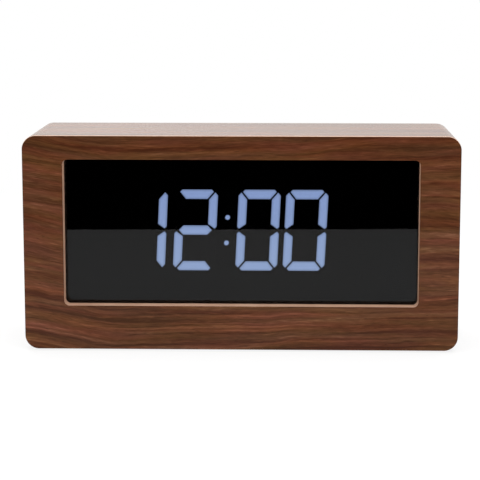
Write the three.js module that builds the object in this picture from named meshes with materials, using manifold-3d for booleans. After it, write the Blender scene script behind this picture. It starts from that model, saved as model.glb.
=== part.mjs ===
// LED table clock: a walnut-veneered case with a smoked window in its front board, seven-segment
// digits behind the window, a clock board, and keys and a battery bay in a recessed back cover.
// Millimetres. +X is right as seen from the front, +Y is towards the back, +Z is up.
// The origin lies under the middle of the case, on the surface that the feet stand on.
import * as THREE from "three";
import { mergeVertices } from "three/addons/utils/BufferGeometryUtils.js";
import Module from "manifold-3d";

// Case: a tube of veneered board behind a full-size front board
const caseWidth = 250;
const caseHeight = 124;
const caseDepth = 80;
const caseCornerRadius = 8;
const edgeChamfer = 0.5;
const frontThickness = 8;
const sleeveWall = 6;
const sleeveInnerRadius = 3;
const cornerBlockSide = 14;
const cornerBlockLength = 26;

// Window in the front board
const stileWidth = 23;
const topRail = 13.7;
const bottomRail = 25.5;
const windowCornerRadius = 3;

// Rubber feet, let into the underside of the sleeve
const footRadius = 7;
const footThickness = 2;
const footProud = 0.8;
const footSideInset = 25;
const footEndInset = 18;

// Clearances: around fitted pieces, between thin pieces, and the overrun of a cutting tool
const fitGap = 0.3;
const thinGap = 0.1;
const cutOverrun = 1;

// Window stack, from the back of the front board inwards
const lensOverlap = 6;
const gasketThickness = 0.8;
const gasketWidth = 4;
const lensThickness = 2;
const lensCornerRadius = 4;
const maskThickness = 2;
const diffuserBaseThickness = 1;
const diffuserMargin = 1;
const reflectorDepth = 7;
const reflectorRim = 5;
const displayBoardThickness = 1.6;
const displayBoardInset = 4;

// Ears of the reflector, screwed to the back of the front board
const earWidth = 8.7;
const earHeight = 12;
const earThickness = 4.2;
const earSpacing = 60;
const earLap = 4;
const pegRadius = 1.5;
const pegInset = 9;
const pegProud = 0.8;

// Digits, measured upright before they lean
const digitHeight = 47.4;
const digitWidth = 24.5;
const digitLeanDegrees = 2.75;
const uprightThickness = 5.2;
const crossThickness = 5.6;
const segmentGap = 0.75;
const cornerTipInset = 1.7;
const cornerTipDrop = 1.6;
const cornerOuterDrop = 3.5;
const cornerInnerLead = 0.2;
const shoulderRun = 1.25;
const shoulderDrop = 1.4;
const waistGap = 1.45;
const waistTipInset = 1.25;
const middleTipInset = 2.6;
const displayRise = 0.4;
const colonX = -8.3;
const colonSpacing = 14.9;
const colonDotRadius = 1.55;
const hourDigitGap = 4.45;
const minuteDigitGap = 2.9;
const hourColonGap = 6.05;
const colonMinuteGap = 5.65;
const ledWidth = 2;
const ledHeight = 0.9;
const ledSpacing = 7;

// Back cover, recessed in the sleeve
const coverThickness = 2.5;
const coverRecess = 3;
const soundHoleRadius = 1;
const soundHolePitch = 4;
const soundHoleCount = 6;

// Screws: case screws hold the cover and the display, board screws hold the clock board
const screwHeadRadius = 3;
const screwHeadHeight = 2;
const screwShankRadius = 1.5;
const screwRecessWidth = 0.9;
const screwRecessLength = 3.4;
const screwRecessDepth = 1.1;
const screwTipLength = 2;
const coverScrewLength = 12;
const displayScrewBite = 5;
const boardScrewHeadRadius = 2.4;
const boardScrewHeadHeight = 1.6;
const boardScrewShankRadius = 1.1;
const boardScrewLength = 7;

// Clock board, carried on posts of the back cover
const boardWidth = 82;
const boardHeight = 70;
const boardThickness = 1.6;
const boardSideInset = 13;
const boardFloorInset = 19;
const postRadius = 3;
const postLength = 8.9;
const postInset = 5;

// Push buttons and the tact switches behind them
const buttonPitch = 18;
const buttonSideInset = 16;
const buttonTopInset = 13;
const buttonRadius = 4;
const buttonProud = 1.4;
const buttonTravel = 0.8;
const buttonFlangeWidth = 1;
const buttonFlangeThickness = 0.8;
const buttonStemRadius = 1.6;
const tactSide = 6;
const tactHeight = 3.5;
const tactPlungerRadius = 1.75;
const tactPlungerProud = 1.5;
const tactPlungerRoot = 1;

// Alarm slide switch and its knob
const switchLength = 12;
const switchWidth = 5.5;
const switchHeight = 4;
const switchSideInset = 12;
const knobLength = 5;
const knobWidth = 3.4;
const knobProud = 1.4;
const knobTravel = 3;
const knobStemLength = 2.5;
const knobStemWidth = 2;
const knobRoot = 2;
const knobSkirtLength = 12.4;
const knobSkirtWidth = 5.4;
const knobSkirtThickness = 0.8;

// Power socket, with the barrel opening to the back
const socketWidth = 9.2;
const socketHeight = 11;
const socketBoreRadius = 3.2;
const socketBackWall = 2.4;
const socketPinRadius = 1;
const socketPinRecess = 1;
const socketSideInset = 16;
const socketFloorInset = 11;

// Small parts on the clock board
const buzzerRadius = 6;
const buzzerTopGap = 0.7;
const buzzerHoleRadius = 1;
const buzzerHoleDepth = 1;
const buzzerFromSide = 52;
const buzzerFromFloor = 20;
const chipLength = 20;
const chipWidth = 7.6;
const chipHeight = 2.4;
const chipLegCount = 10;
const chipLegWidth = 0.5;
const chipLegReach = 1.2;
const chipLegHeight = 0.9;
const crystalLength = 11;
const crystalWidth = 4.6;
const crystalHeight = 3.4;
const crystalGap = 4;
const capacitorRadius = 4;
const capacitorHeight = 11;
const capacitorRim = 0.5;
const capacitorGap = 6;

// Ribbon cable between the two connectors
const connectorLength = 15;
const connectorWidth = 5;
const connectorHeight = 6;
const connectorSideInset = 16;
const connectorFloorInset = 34;
const connectorRise = 20;
const ribbonWidth = 12.7;
const ribbonThickness = 0.9;

// Battery bay, cells and contacts
const cellRadius = 5.25;
const cellLength = 43.5;
const cellNubRadius = 1.9;
const cellNubLength = 1;
const cellGap = 0.7;
const cellCount = 3;
const bayFloorLead = 1.2;
const bayLatchRoom = 6;
const bayWall = 1.4;
const bayFlange = 4.6;
const bayFlangeThickness = 1.4;
const bayCentreX = 40;
const bayFloorZ = 38;
const contactThickness = 0.4;
const contactSide = 9;
const contactBumpRadius = 2;
const contactBumpHeight = 0.6;
const springBaseRadius = 3.6;
const springTipRadius = 2.2;
const springLength = 4.3;
const leadRadius = 0.6;
const leadBow = 6;

// Battery door, hooked at its lower edge and latched at its upper edge
const doorLedge = 2;
const hookWidth = 6;
const hookSpacing = 32;
const hookReach = 2;
const hookRoot = 2;
const hookThickness = 1.2;
const latchWidth = 10;
const latchThickness = 1.2;
const latchDepth = 6;
const latchInset = 3.2;
const latchGripDepth = 1;
const latchGripHeight = 3;
const ribWidth = 1.2;
const ribProud = 0.5;
const ribPitch = 3.5;
const ribCount = 3;
const ribLength = 16;

// Facets of round pieces
const cornerSteps = 4;
const hiddenCornerSteps = 1;
const smallSides = 12;
const roundSides = 20;
const wireSteps = 12;

// Places that follow from the sizes above
const caseFloorZ = footProud;
const caseMidZ = caseFloorZ + caseHeight / 2;
const frontFaceY = -caseDepth / 2;
const sleeveFrontY = frontFaceY + frontThickness;
const sleeveDepth = caseDepth - frontThickness;
const innerWidth = caseWidth - 2 * sleeveWall;
const innerHeight = caseHeight - 2 * sleeveWall;
const innerFloorZ = caseFloorZ + sleeveWall;
const windowWidth = caseWidth - 2 * stileWidth;
const windowHeight = caseHeight - topRail - bottomRail;
const windowMidZ = caseFloorZ + bottomRail + windowHeight / 2;
const lensWidth = windowWidth + 2 * lensOverlap;
const lensHeight = windowHeight + 2 * lensOverlap;
const lensFrontY = sleeveFrontY + gasketThickness;
const maskFrontY = lensFrontY + lensThickness;
const diffuserFrontY = maskFrontY + maskThickness;
const reflectorFrontY = diffuserFrontY + diffuserBaseThickness;
const displayBoardY = reflectorFrontY + reflectorDepth;
const displayBoardBackY = displayBoardY + displayBoardThickness;
const coverBackY = caseDepth / 2 - coverRecess;
const coverFrontY = coverBackY - coverThickness;
const coverWidth = innerWidth - 2 * fitGap;
const coverHeight = innerHeight - 2 * fitGap;
const boardBackY = coverFrontY - postLength;
const boardFrontY = boardBackY - boardThickness;
const boardLeftX = -innerWidth / 2 + boardSideInset;
const boardFloorZ = innerFloorZ + boardFloorInset;
const boardMidX = boardLeftX + boardWidth / 2;
const boardMidZ = boardFloorZ + boardHeight / 2;
const buttonZ = boardFloorZ + boardHeight - buttonTopInset;
const buttonNames = ["down", "up", "set"];
const keyRowLength = buttonPitch * buttonNames.length;
const keyRowMidX = boardMidX + (switchSideInset - buttonSideInset) / 2;
const firstButtonX = keyRowMidX + keyRowLength / 2;
const switchX = keyRowMidX - keyRowLength / 2;
const socketX = boardLeftX + socketSideInset;
const socketZ = boardFloorZ + socketFloorInset;
const socketDepth = postLength + coverThickness;
const socketBoreDepth = socketDepth - socketBackWall;
const buzzerX = boardLeftX + buzzerFromSide;
const buzzerZ = boardFloorZ + buzzerFromFloor;
const buzzerHeight = postLength - buzzerTopGap;
const hourDigitPitch = digitWidth + hourDigitGap;
const minuteDigitPitch = digitWidth + minuteDigitGap;
const hourToColon = digitWidth / 2 + hourColonGap;
const colonToMinute = digitWidth / 2 + colonMinuteGap;
const cellPitch = 2 * cellRadius + cellGap;
const bayHeight = bayFloorLead + cellPitch * (cellCount - 1) + 2 * cellRadius + bayLatchRoom;
const plateContactLength = contactThickness + contactBumpHeight;
const cellFullLength = cellLength + cellNubLength;
const bayLength = plateContactLength + springLength + 2 * thinGap + cellFullLength;
const doorWidth = bayLength + 2 * doorLedge;
const doorThickness = coverThickness - fitGap;
const doorHeight = bayHeight + bayFloorLead + doorLedge;
const bayDepth = 2 * cellRadius + 2 * fitGap;
const bayFloorY = coverFrontY - bayDepth;
const cellY = bayFloorY + fitGap + cellRadius;
const bayInnerFloorZ = bayFloorZ + bayFloorLead;
const firstCellZ = bayInnerFloorZ + fitGap + cellRadius + fitGap;
const bayMidZ = bayInnerFloorZ + bayHeight / 2;
const cellMidX = bayLength / 2 - plateContactLength - thinGap - cellNubLength - cellLength / 2;
const leanTangent = Math.tan(THREE.MathUtils.degToRad(digitLeanDegrees));

// Finishes: colour, roughness and metalness
const finishes = {
  veneer: { color: "#5f3928", roughness: 0.45, metalness: 0 },
  smokedAcrylic: { color: "#141414", roughness: 0.08, metalness: 0 },
  blackFoam: { color: "#17171a", roughness: 0.95, metalness: 0 },
  blackPlastic: { color: "#1c1c1e", roughness: 0.6, metalness: 0 },
  whitePlastic: { color: "#e8e8e4", roughness: 0.5, metalness: 0 },
  litDiffuser: { color: "#a9bfe8", roughness: 0.4, metalness: 0 },
  greenBoard: { color: "#1d5a34", roughness: 0.5, metalness: 0 },
  chipBlack: { color: "#202022", roughness: 0.55, metalness: 0 },
  brightMetal: { color: "#c9ccd0", roughness: 0.3, metalness: 1 },
  blackMetal: { color: "#2b2b2d", roughness: 0.45, metalness: 0.8 },
  greyRubber: { color: "#2c2c2e", roughness: 0.9, metalness: 0 },
  greyCable: { color: "#8b8e92", roughness: 0.6, metalness: 0 },
  redWire: { color: "#a3201c", roughness: 0.6, metalness: 0 },
  blackWire: { color: "#1a1a1a", roughness: 0.6, metalness: 0 },
  cellWrap: { color: "#3d6b7d", roughness: 0.35, metalness: 0.3 },
  blueSleeve: { color: "#26365c", roughness: 0.4, metalness: 0 },
};

const wasm = await Module();
wasm.setup();

// A closed geometry as a solid that can be joined and cut
function solidOf(geometry) {
  const bare = geometry.clone();
  bare.deleteAttribute("normal");
  bare.deleteAttribute("uv");
  const merged = mergeVertices(bare);
  const corners = merged.index.array;
  const kept = [];
  for (let i = 0; i < corners.length; i += 3) {
    const [a, b, c] = [corners[i], corners[i + 1], corners[i + 2]];
    if (a !== b && b !== c && c !== a) kept.push(a, b, c);
  }
  const mesh = new wasm.Mesh({
    numProp: 3,
    vertProperties: new Float32Array(merged.attributes.position.array),
    triVerts: new Uint32Array(kept),
  });
  return new wasm.Manifold(mesh);
}

function geometryOf(solid) {
  const mesh = solid.getMesh();
  const geometry = new THREE.BufferGeometry();
  geometry.setAttribute("position", new THREE.BufferAttribute(new Float32Array(mesh.vertProperties), 3));
  geometry.setIndex(new THREE.BufferAttribute(new Uint32Array(mesh.triVerts), 1));
  geometry.computeVertexNormals();
  return geometry;
}

const join = (...pieces) => geometryOf(pieces.map(solidOf).reduce((a, b) => a.add(b)));

function cut(piece, ...tools) {
  return geometryOf(tools.map(solidOf).reduce((a, b) => a.subtract(b), solidOf(piece)));
}

const at = (geometry, x, y, z) => geometry.clone().translate(x, y, z);

// Boxes and rods are centred, and slabs grow from y = 0 towards the back
const box = (width, depth, height) => new THREE.BoxGeometry(width, depth, height);

function rod(radius, length, sides = smallSides) {
  return new THREE.CylinderGeometry(radius, radius, length, sides);
}

function slab(outline, depth, steps = cornerSteps) {
  const options = { depth, bevelEnabled: false, curveSegments: steps };
  const geometry = new THREE.ExtrudeGeometry(outline, options);
  return geometry.rotateX(Math.PI / 2).translate(0, depth, 0);
}

// A slab whose front edges, its window's too, are chamfered
function frontChamferedSlab(outline, depth, chamfer) {
  const options = {
    depth,
    bevelThickness: chamfer,
    bevelSize: chamfer,
    bevelOffset: -chamfer,
    bevelSegments: 1,
    curveSegments: cornerSteps,
  };
  const rough = new THREE.ExtrudeGeometry(outline, options).rotateX(Math.PI / 2);
  rough.translate(0, depth + chamfer, 0);
  rough.computeBoundingBox();
  const extent = rough.boundingBox.getSize(new THREE.Vector3());
  const trim = box(extent.x + 2 * cutOverrun, 2 * chamfer + cutOverrun, extent.z + 2 * cutOverrun);
  return cut(rough, at(trim, 0, depth + chamfer + cutOverrun / 2, 0));
}

// A profile of [radius, y] pairs turned about the Y axis
function turned(profile, sides = smallSides) {
  const points = profile.map(([radius, y]) => new THREE.Vector2(radius, y));
  return new THREE.LatheGeometry(points, sides);
}

function roundedRect(width, height, radius, path = new THREE.Shape()) {
  const right = width / 2 - radius;
  const top = height / 2 - radius;
  path.absarc(right, top, radius, 0, Math.PI / 2);
  path.absarc(-right, top, radius, Math.PI / 2, Math.PI);
  path.absarc(-right, -top, radius, Math.PI, Math.PI * 1.5);
  path.absarc(right, -top, radius, Math.PI * 1.5, Math.PI * 2);
  path.closePath();
  return path;
}

function roundedFrame(width, height, radius, holeWidth, holeHeight, holeRadius) {
  const outline = roundedRect(width, height, radius);
  outline.holes.push(roundedRect(holeWidth, holeHeight, holeRadius, new THREE.Path()));
  return outline;
}

function polygon(points) {
  return new THREE.Shape(points.map(([x, z]) => new THREE.Vector2(x, z)));
}

const usedNames = new Set();

function mesh(name, geometry, finish, x = 0, y = 0, z = 0) {
  if (usedNames.has(name)) throw new Error(`two pieces are called ${name}`);
  usedNames.add(name);
  const material = new THREE.MeshStandardMaterial({ ...finishes[finish], flatShading: true });
  const piece = new THREE.Mesh(geometry, material);
  piece.name = name;
  piece.position.set(x, y, z);
  return piece;
}

function unit(...pieces) {
  const group = new THREE.Group();
  group.add(...pieces);
  return group;
}

// Four places that mirror each other about both axes
function mirrored(x, z) {
  return [[-x, -z], [x, -z], [-x, z], [x, z]];
}

// Screws: a pan head with a cross recess at +Y, and a pointed shank towards -Y
function screw(name, headRadius, headHeight, shankRadius, length, x, y, z) {
  const blank = turned([
    [0, -length],
    [shankRadius, screwTipLength - length],
    [shankRadius, 0],
    [headRadius, 0],
    [headRadius, headHeight / 2],
    [headRadius * 3 / 4, headHeight],
    [0, headHeight],
  ]);
  const recessLength = screwRecessLength * headRadius / screwHeadRadius;
  const recessDepth = screwRecessDepth * headHeight / screwHeadHeight;
  const recessY = headHeight - recessDepth / 2 + cutOverrun / 2;
  const flat = box(recessLength, recessDepth + cutOverrun, screwRecessWidth);
  const upright = box(screwRecessWidth, recessDepth + cutOverrun, recessLength);
  const body = cut(blank, join(at(flat, 0, recessY, 0), at(upright, 0, recessY, 0)));
  return mesh(name, body, "blackMetal", x, y, z);
}

// Front board with its window and the blind holes for the display screws
function frontPanel() {
  const outline = roundedRect(caseWidth, caseHeight, caseCornerRadius);
  const opening = roundedRect(windowWidth, windowHeight, windowCornerRadius, new THREE.Path());
  const windowRise = windowMidZ - caseMidZ;
  const points = opening.getPoints(cornerSteps).map((p) => new THREE.Vector2(p.x, p.y + windowRise));
  outline.holes.push(new THREE.Path(points));
  const board = frontChamferedSlab(outline, frontThickness, edgeChamfer);
  const holeDepth = displayScrewBite + fitGap + cutOverrun;
  const hole = rod(screwShankRadius + fitGap, holeDepth);
  const holeY = frontThickness + cutOverrun - holeDepth / 2;
  const holes = earPlaces().map(([x, z]) => at(hole, x, holeY, z + windowRise));
  return mesh("front_panel", cut(board, ...holes), "veneer", 0, frontFaceY, caseMidZ);
}

// Centres of the reflector's ears, from the middle of the window
function earPlaces() {
  return mirrored(lensWidth / 2 + fitGap + earWidth / 2, earSpacing / 2);
}

// Sleeve with its glued corner blocks, cover screw holes and foot recesses
function caseSleeve() {
  const inner = [innerWidth, innerHeight, sleeveInnerRadius];
  const tube = slab(roundedFrame(caseWidth, caseHeight, caseCornerRadius, ...inner), sleeveDepth);
  const blockEndY = coverFrontY - sleeveFrontY;
  const blockLap = sleeveWall / 2;
  const block = box(cornerBlockSide + blockLap, cornerBlockLength, cornerBlockSide + blockLap);
  const blocks = cornerPlaces().map(([x, z]) => {
    const lappedX = x + Math.sign(x) * blockLap / 2;
    return at(block, lappedX, blockEndY - cornerBlockLength / 2, z + Math.sign(z) * blockLap / 2);
  });
  const holeLength = coverScrewLength - coverThickness + fitGap + cutOverrun;
  const hole = rod(screwShankRadius + fitGap, holeLength);
  const holes = cornerPlaces().map(([x, z]) => at(hole, x, blockEndY + cutOverrun - holeLength / 2, z));
  const recessHeight = footThickness - footProud + cutOverrun;
  const recess = rod(footRadius + fitGap, recessHeight, roundSides).rotateX(Math.PI / 2);
  const recessZ = recessHeight / 2 - cutOverrun - caseHeight / 2;
  const recesses = footPlaces().map(([x, y]) => at(recess, x, y - sleeveFrontY, recessZ));
  const body = cut(join(tube, ...blocks), ...holes, ...recesses);
  return mesh("case_sleeve", body, "veneer", 0, sleeveFrontY, caseMidZ);
}

// Centres of the corner blocks, from the middle of the case
function cornerPlaces() {
  return mirrored(innerWidth / 2 - cornerBlockSide / 2, innerHeight / 2 - cornerBlockSide / 2);
}

function footPlaces() {
  return mirrored(caseWidth / 2 - footSideInset, caseDepth / 2 - footEndInset);
}

function feet() {
  const foot = rod(footRadius, footThickness, roundSides).rotateX(Math.PI / 2);
  return footPlaces().map(([x, y], i) => {
    return mesh(`foot_${i + 1}`, foot.clone(), "greyRubber", x, y, footThickness / 2);
  });
}

// Foam tape that seals the lens against the back of the front board
function lensGasket() {
  const hole = [lensWidth - 2 * gasketWidth, lensHeight - 2 * gasketWidth, windowCornerRadius];
  const outline = roundedFrame(lensWidth, lensHeight, lensCornerRadius, ...hole);
  const tape = slab(outline, gasketThickness, hiddenCornerSteps);
  return mesh("lens_gasket", tape, "blackFoam", 0, sleeveFrontY, windowMidZ);
}

// A plate of the lens's outline
function lensPlate(thickness) {
  return slab(roundedRect(lensWidth, lensHeight, lensCornerRadius), thickness, hiddenCornerSteps);
}

function lens() {
  return mesh("lens", lensPlate(lensThickness), "smokedAcrylic", 0, lensFrontY, windowMidZ);
}

// Outlines of the seven bars of an upright digit, about its centre, each running counterclockwise
function barOutlines() {
  const side = digitWidth / 2;
  const top = digitHeight / 2;
  const inner = side - uprightThickness;
  const shoulder = side - cornerTipInset - segmentGap;
  const crossInner = inner - segmentGap;
  const crossTop = [
    [-crossInner, top - crossThickness],
    [crossInner, top - crossThickness],
    [shoulder, top - shoulderDrop],
    [shoulder - shoulderRun, top],
    [shoulderRun - shoulder, top],
    [-shoulder, top - shoulderDrop],
  ];
  const middle = [
    [-inner, -crossThickness / 2],
    [inner, -crossThickness / 2],
    [side - middleTipInset, 0],
    [inner, crossThickness / 2],
    [-inner, crossThickness / 2],
    [middleTipInset - side, 0],
  ];
  const rightUpper = [
    [inner, crossThickness / 2 + segmentGap],
    [side - waistTipInset, waistGap / 2],
    [side, waistGap / 2 + waistTipInset],
    [side, top - cornerOuterDrop],
    [side - cornerTipInset, top - cornerTipDrop],
    [inner, top - crossThickness - cornerInnerLead],
  ];
  const flipX = (points) => points.map(([x, z]) => [-x, z]).reverse();
  const flipZ = (points) => points.map(([x, z]) => [x, -z]).reverse();
  return {
    a: crossTop,
    b: rightUpper,
    c: flipZ(rightUpper),
    d: flipZ(crossTop),
    e: flipX(flipZ(rightUpper)),
    f: flipX(rightUpper),
    g: middle,
  };
}

function dotOutline(centreZ) {
  return Array.from({ length: smallSides }, (_, i) => {
    const angle = 2 * Math.PI * i / smallSides;
    return [colonDotRadius * Math.cos(angle), centreZ + colonDotRadius * Math.sin(angle)];
  });
}

const lean = (points) => points.map(([x, z]) => [x + z * leanTangent, z]);

// A convex counterclockwise outline moved inwards by a distance
function insetOutline(points, distance) {
  const count = points.length;
  return points.map((corner, i) => {
    const before = points[(i + count - 1) % count];
    const after = points[(i + 1) % count];
    const first = new THREE.Vector2(corner[0] - before[0], corner[1] - before[1]).normalize();
    const second = new THREE.Vector2(after[0] - corner[0], after[1] - corner[1]).normalize();
    const shift = distance / Math.max(1 + first.dot(second), Number.EPSILON);
    const x = corner[0] - (first.y + second.y) * shift;
    const z = corner[1] + (first.x + second.x) * shift;
    return [x, z];
  });
}

// The display's places: centre, the bars it has, and the base of its diffuser
function displayPlaces() {
  const bars = barOutlines();
  const side = digitWidth / 2;
  const halfHeight = digitHeight / 2 + diffuserMargin;
  const block = (left, right, half) => [[left, -half], [right, -half], [right, half], [left, half]];
  const whole = {
    bars: Object.values(bars),
    base: block(-side - diffuserMargin, side + diffuserMargin, halfHeight),
  };
  const tens = {
    bars: [bars.b, bars.c],
    base: block(side - uprightThickness - diffuserMargin, side + diffuserMargin, halfHeight),
  };
  const dotHalf = colonSpacing / 2;
  const dotReach = colonDotRadius + diffuserMargin;
  const colon = {
    bars: [dotOutline(dotHalf), dotOutline(-dotHalf)],
    base: block(-dotReach, dotReach, dotHalf + dotReach),
  };
  const hoursX = colonX - hourToColon;
  const minutesX = colonX + colonToMinute;
  return [
    { name: "diffuser_hours_tens", x: hoursX - hourDigitPitch, ...tens },
    { name: "diffuser_hours_units", x: hoursX, ...whole },
    { name: "diffuser_colon", x: colonX, ...colon },
    { name: "diffuser_minutes_tens", x: minutesX, ...whole },
    { name: "diffuser_minutes_units", x: minutesX + minuteDigitPitch, ...whole },
  ];
}

// Prisms through every bar of the display, from the front of a plate to past its back
function barCutters(depth) {
  return displayPlaces().flatMap((place) => place.bars.map((bar) => {
    return at(slab(polygon(lean(bar)), depth + 2 * cutOverrun), place.x, -cutOverrun, displayRise);
  }));
}

function displayMask() {
  const plate = cut(lensPlate(maskThickness), ...barCutters(maskThickness));
  return mesh("display_mask", plate, "blackPlastic", 0, maskFrontY, windowMidZ);
}

// Each diffuser is a base behind the mask with a land that fills each bar's window
function diffusers() {
  return displayPlaces().map((place) => {
    const base = at(slab(polygon(lean(place.base)), diffuserBaseThickness), 0, maskThickness, 0);
    const landDepth = maskThickness + diffuserBaseThickness / 2;
    const lands = place.bars.map((bar) => slab(polygon(insetOutline(lean(bar), thinGap)), landDepth));
    const body = join(base, ...lands);
    return mesh(place.name, body, "litDiffuser", place.x, maskFrontY, windowMidZ + displayRise);
  });
}

// Reflector housing: a light cell behind each bar, a rim that presses on the mask, and four ears
function displayReflector() {
  const lightCells = cut(lensPlate(reflectorDepth), ...barCutters(reflectorDepth));
  const hole = [lensWidth - 2 * reflectorRim, lensHeight - 2 * reflectorRim, windowCornerRadius];
  const rimOutline = roundedFrame(lensWidth, lensHeight, lensCornerRadius, ...hole);
  const rimSlab = slab(rimOutline, 2 * diffuserBaseThickness, hiddenCornerSteps);
  const rim = at(rimSlab, 0, -diffuserBaseThickness, 0);
  const legDepth = reflectorFrontY - sleeveFrontY + earThickness;
  const leg = box(earWidth, legDepth, earHeight);
  const lap = box(earWidth + fitGap + earLap, earThickness, earHeight);
  const ears = earPlaces().flatMap(([x, z]) => [
    at(leg, x, earThickness - legDepth / 2, z),
    at(lap, x - Math.sign(x) * (fitGap + earLap) / 2, earThickness / 2, z),
  ]);
  const pegLength = reflectorDepth / 2 + displayBoardThickness + pegProud;
  const peg = rod(pegRadius, pegLength);
  const pegs = pegPlaces().map(([x, z]) => at(peg, x, reflectorDepth / 2 + pegLength / 2, z));
  const screwHole = rod(screwShankRadius + fitGap, legDepth + 2 * cutOverrun);
  const screwHoles = earPlaces().map(([x, z]) => at(screwHole, x, earThickness - legDepth / 2, z));
  const body = cut(join(lightCells, rim, ...ears, ...pegs), ...screwHoles);
  return mesh("display_reflector", body, "whitePlastic", 0, reflectorFrontY, windowMidZ);
}

function pegPlaces() {
  return mirrored(lensWidth / 2 - pegInset, lensHeight / 2 - pegInset);
}

// Display board, with two LED chips under each bar and one under each dot
function displayBoard() {
  const width = lensWidth - 2 * displayBoardInset;
  const height = lensHeight - 2 * displayBoardInset;
  const middleY = displayBoardThickness / 2;
  const plate = at(box(width, displayBoardThickness, height), 0, middleY, 0);
  const pegHole = rod(pegRadius + fitGap, displayBoardThickness + 2 * cutOverrun);
  const pegHoles = pegPlaces().map(([x, z]) => at(pegHole, x, middleY, z));
  const chipDepth = ledHeight + displayBoardThickness / 2;
  const chip = box(ledWidth, chipDepth, ledWidth);
  const chips = ledPlaces().map(([x, z]) => at(chip, x, chipDepth / 2 - ledHeight, z + displayRise));
  const body = join(cut(plate, ...pegHoles), ...chips);
  return mesh("display_board", body, "greenBoard", 0, displayBoardY, windowMidZ);
}

function ledPlaces() {
  const step = ledSpacing / 2;
  return displayPlaces().flatMap((place) => place.bars.flatMap((bar) => {
    const outline = new THREE.Box2().setFromPoints(bar.map(([x, z]) => new THREE.Vector2(x, z)));
    const [middle, size] = [outline.getCenter(new THREE.Vector2()), outline.getSize(new THREE.Vector2())];
    const offsets = [[-step, 0], [step, 0]];
    if (size.x <= size.y) offsets.forEach((offset) => offset.reverse());
    if (bar.length === smallSides) offsets.splice(0, 2, [0, 0]);
    const chips = lean(offsets.map(([x, z]) => [middle.x + x, middle.y + z]));
    return chips.map(([x, z]) => [place.x + x, z]);
  }));
}

function displayScrews() {
  const headY = reflectorFrontY + earThickness;
  const length = headY - sleeveFrontY + displayScrewBite;
  return earPlaces().map(([x, z], i) => {
    const size = [screwHeadRadius, screwHeadHeight, screwShankRadius, length];
    return screw(`display_screw_${i + 1}`, ...size, x, headY, windowMidZ + z);
  });
}

// Connectors face each other across the case, with the ribbon cable between them
function connectorPlace() {
  return [boardLeftX + connectorSideInset, boardFloorZ + connectorFloorInset];
}

function connectors() {
  const [x, z] = connectorPlace();
  const housing = box(connectorLength, connectorHeight, connectorWidth);
  const displayEndY = displayBoardBackY + connectorHeight / 2;
  const boardEndY = boardFrontY - connectorHeight / 2;
  return [
    mesh("display_connector", housing, "whitePlastic", x, displayEndY, z - connectorRise),
    mesh("board_connector", housing.clone(), "whitePlastic", x, boardEndY, z),
  ];
}

function ribbonCable() {
  const [x, z] = connectorPlace();
  const startY = displayBoardBackY + connectorHeight;
  const run = boardFrontY - connectorHeight - startY;
  const steps = smallSides;
  const spine = Array.from({ length: steps + 1 }, (_, i) => {
    const share = i / steps;
    return [run * share, connectorRise * THREE.MathUtils.smootherstep(share, 0, 1)];
  });
  const half = ribbonThickness / 2;
  const lower = spine.map(([y, rise]) => [y, rise - half]);
  const upper = spine.map(([y, rise]) => [y, rise + half]).reverse();
  const options = { depth: ribbonWidth, bevelEnabled: false };
  const strip = new THREE.ExtrudeGeometry(polygon([...lower, ...upper]), options);
  strip.rotateY(Math.PI / 2).rotateX(Math.PI / 2);
  return mesh("ribbon_cable", strip, "greyCable", x - ribbonWidth / 2, startY, z - connectorRise);
}

// Clock board with holes over the screwed posts
function clockBoard() {
  const plate = at(box(boardWidth, boardThickness, boardHeight), 0, boardThickness / 2, 0);
  const hole = rod(boardScrewShankRadius + fitGap, boardThickness + 2 * cutOverrun);
  const holes = screwedPosts().map(([x, z]) => at(hole, x, boardThickness / 2, z));
  return mesh("clock_board", cut(plate, ...holes), "greenBoard", boardMidX, boardFrontY, boardMidZ);
}

function postPlaces() {
  return mirrored(boardWidth / 2 - postInset, boardHeight / 2 - postInset);
}

const screwedPosts = () => postPlaces().filter(([x, z]) => x * z > 0);

function boardScrews() {
  return screwedPosts().map(([x, z], i) => {
    const size = [boardScrewHeadRadius, boardScrewHeadHeight, boardScrewShankRadius, boardScrewLength];
    const piece = screw(`board_screw_${i + 1}`, ...size, boardMidX + x, boardFrontY, boardMidZ + z);
    piece.rotation.x = Math.PI;
    return piece;
  });
}

// Parts on the front side of the clock board
function clockChip() {
  const body = at(box(chipLength, chipHeight, chipWidth), 0, -chipHeight / 2, 0);
  const leg = box(chipLegWidth, chipLegHeight, chipWidth + 2 * chipLegReach);
  const pitch = chipLength / chipLegCount;
  const legs = Array.from({ length: chipLegCount }, (_, i) => {
    return at(leg, (i + 1 / 2) * pitch - chipLength / 2, -chipLegHeight / 2, 0);
  });
  return mesh("clock_chip", join(body, ...legs), "chipBlack", boardMidX, boardFrontY, boardMidZ);
}

function crystal() {
  const outline = roundedRect(crystalLength, crystalWidth, crystalWidth / 2 - thinGap);
  const can = slab(outline, crystalHeight, hiddenCornerSteps);
  const z = boardMidZ + chipWidth / 2 + chipLegReach + crystalGap;
  return mesh("crystal", can, "brightMetal", boardMidX, boardFrontY - crystalHeight, z);
}

function capacitor() {
  const can = turned([
    [0, -capacitorHeight],
    [capacitorRadius - capacitorRim, -capacitorHeight],
    [capacitorRadius, capacitorRim - capacitorHeight],
    [capacitorRadius, 0],
    [0, 0],
  ], roundSides);
  const x = boardMidX + chipLength / 2 + capacitorGap + capacitorRadius;
  return mesh("capacitor", can, "blueSleeve", x, boardFrontY, boardMidZ);
}

// Parts on the back side of the clock board
function buzzer() {
  const can = at(rod(buzzerRadius, buzzerHeight, roundSides), 0, buzzerHeight / 2, 0);
  const hole = at(rod(buzzerHoleRadius, 2 * buzzerHoleDepth), 0, buzzerHeight, 0);
  return mesh("buzzer", cut(can, hole), "chipBlack", buzzerX, boardBackY, buzzerZ);
}

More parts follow.
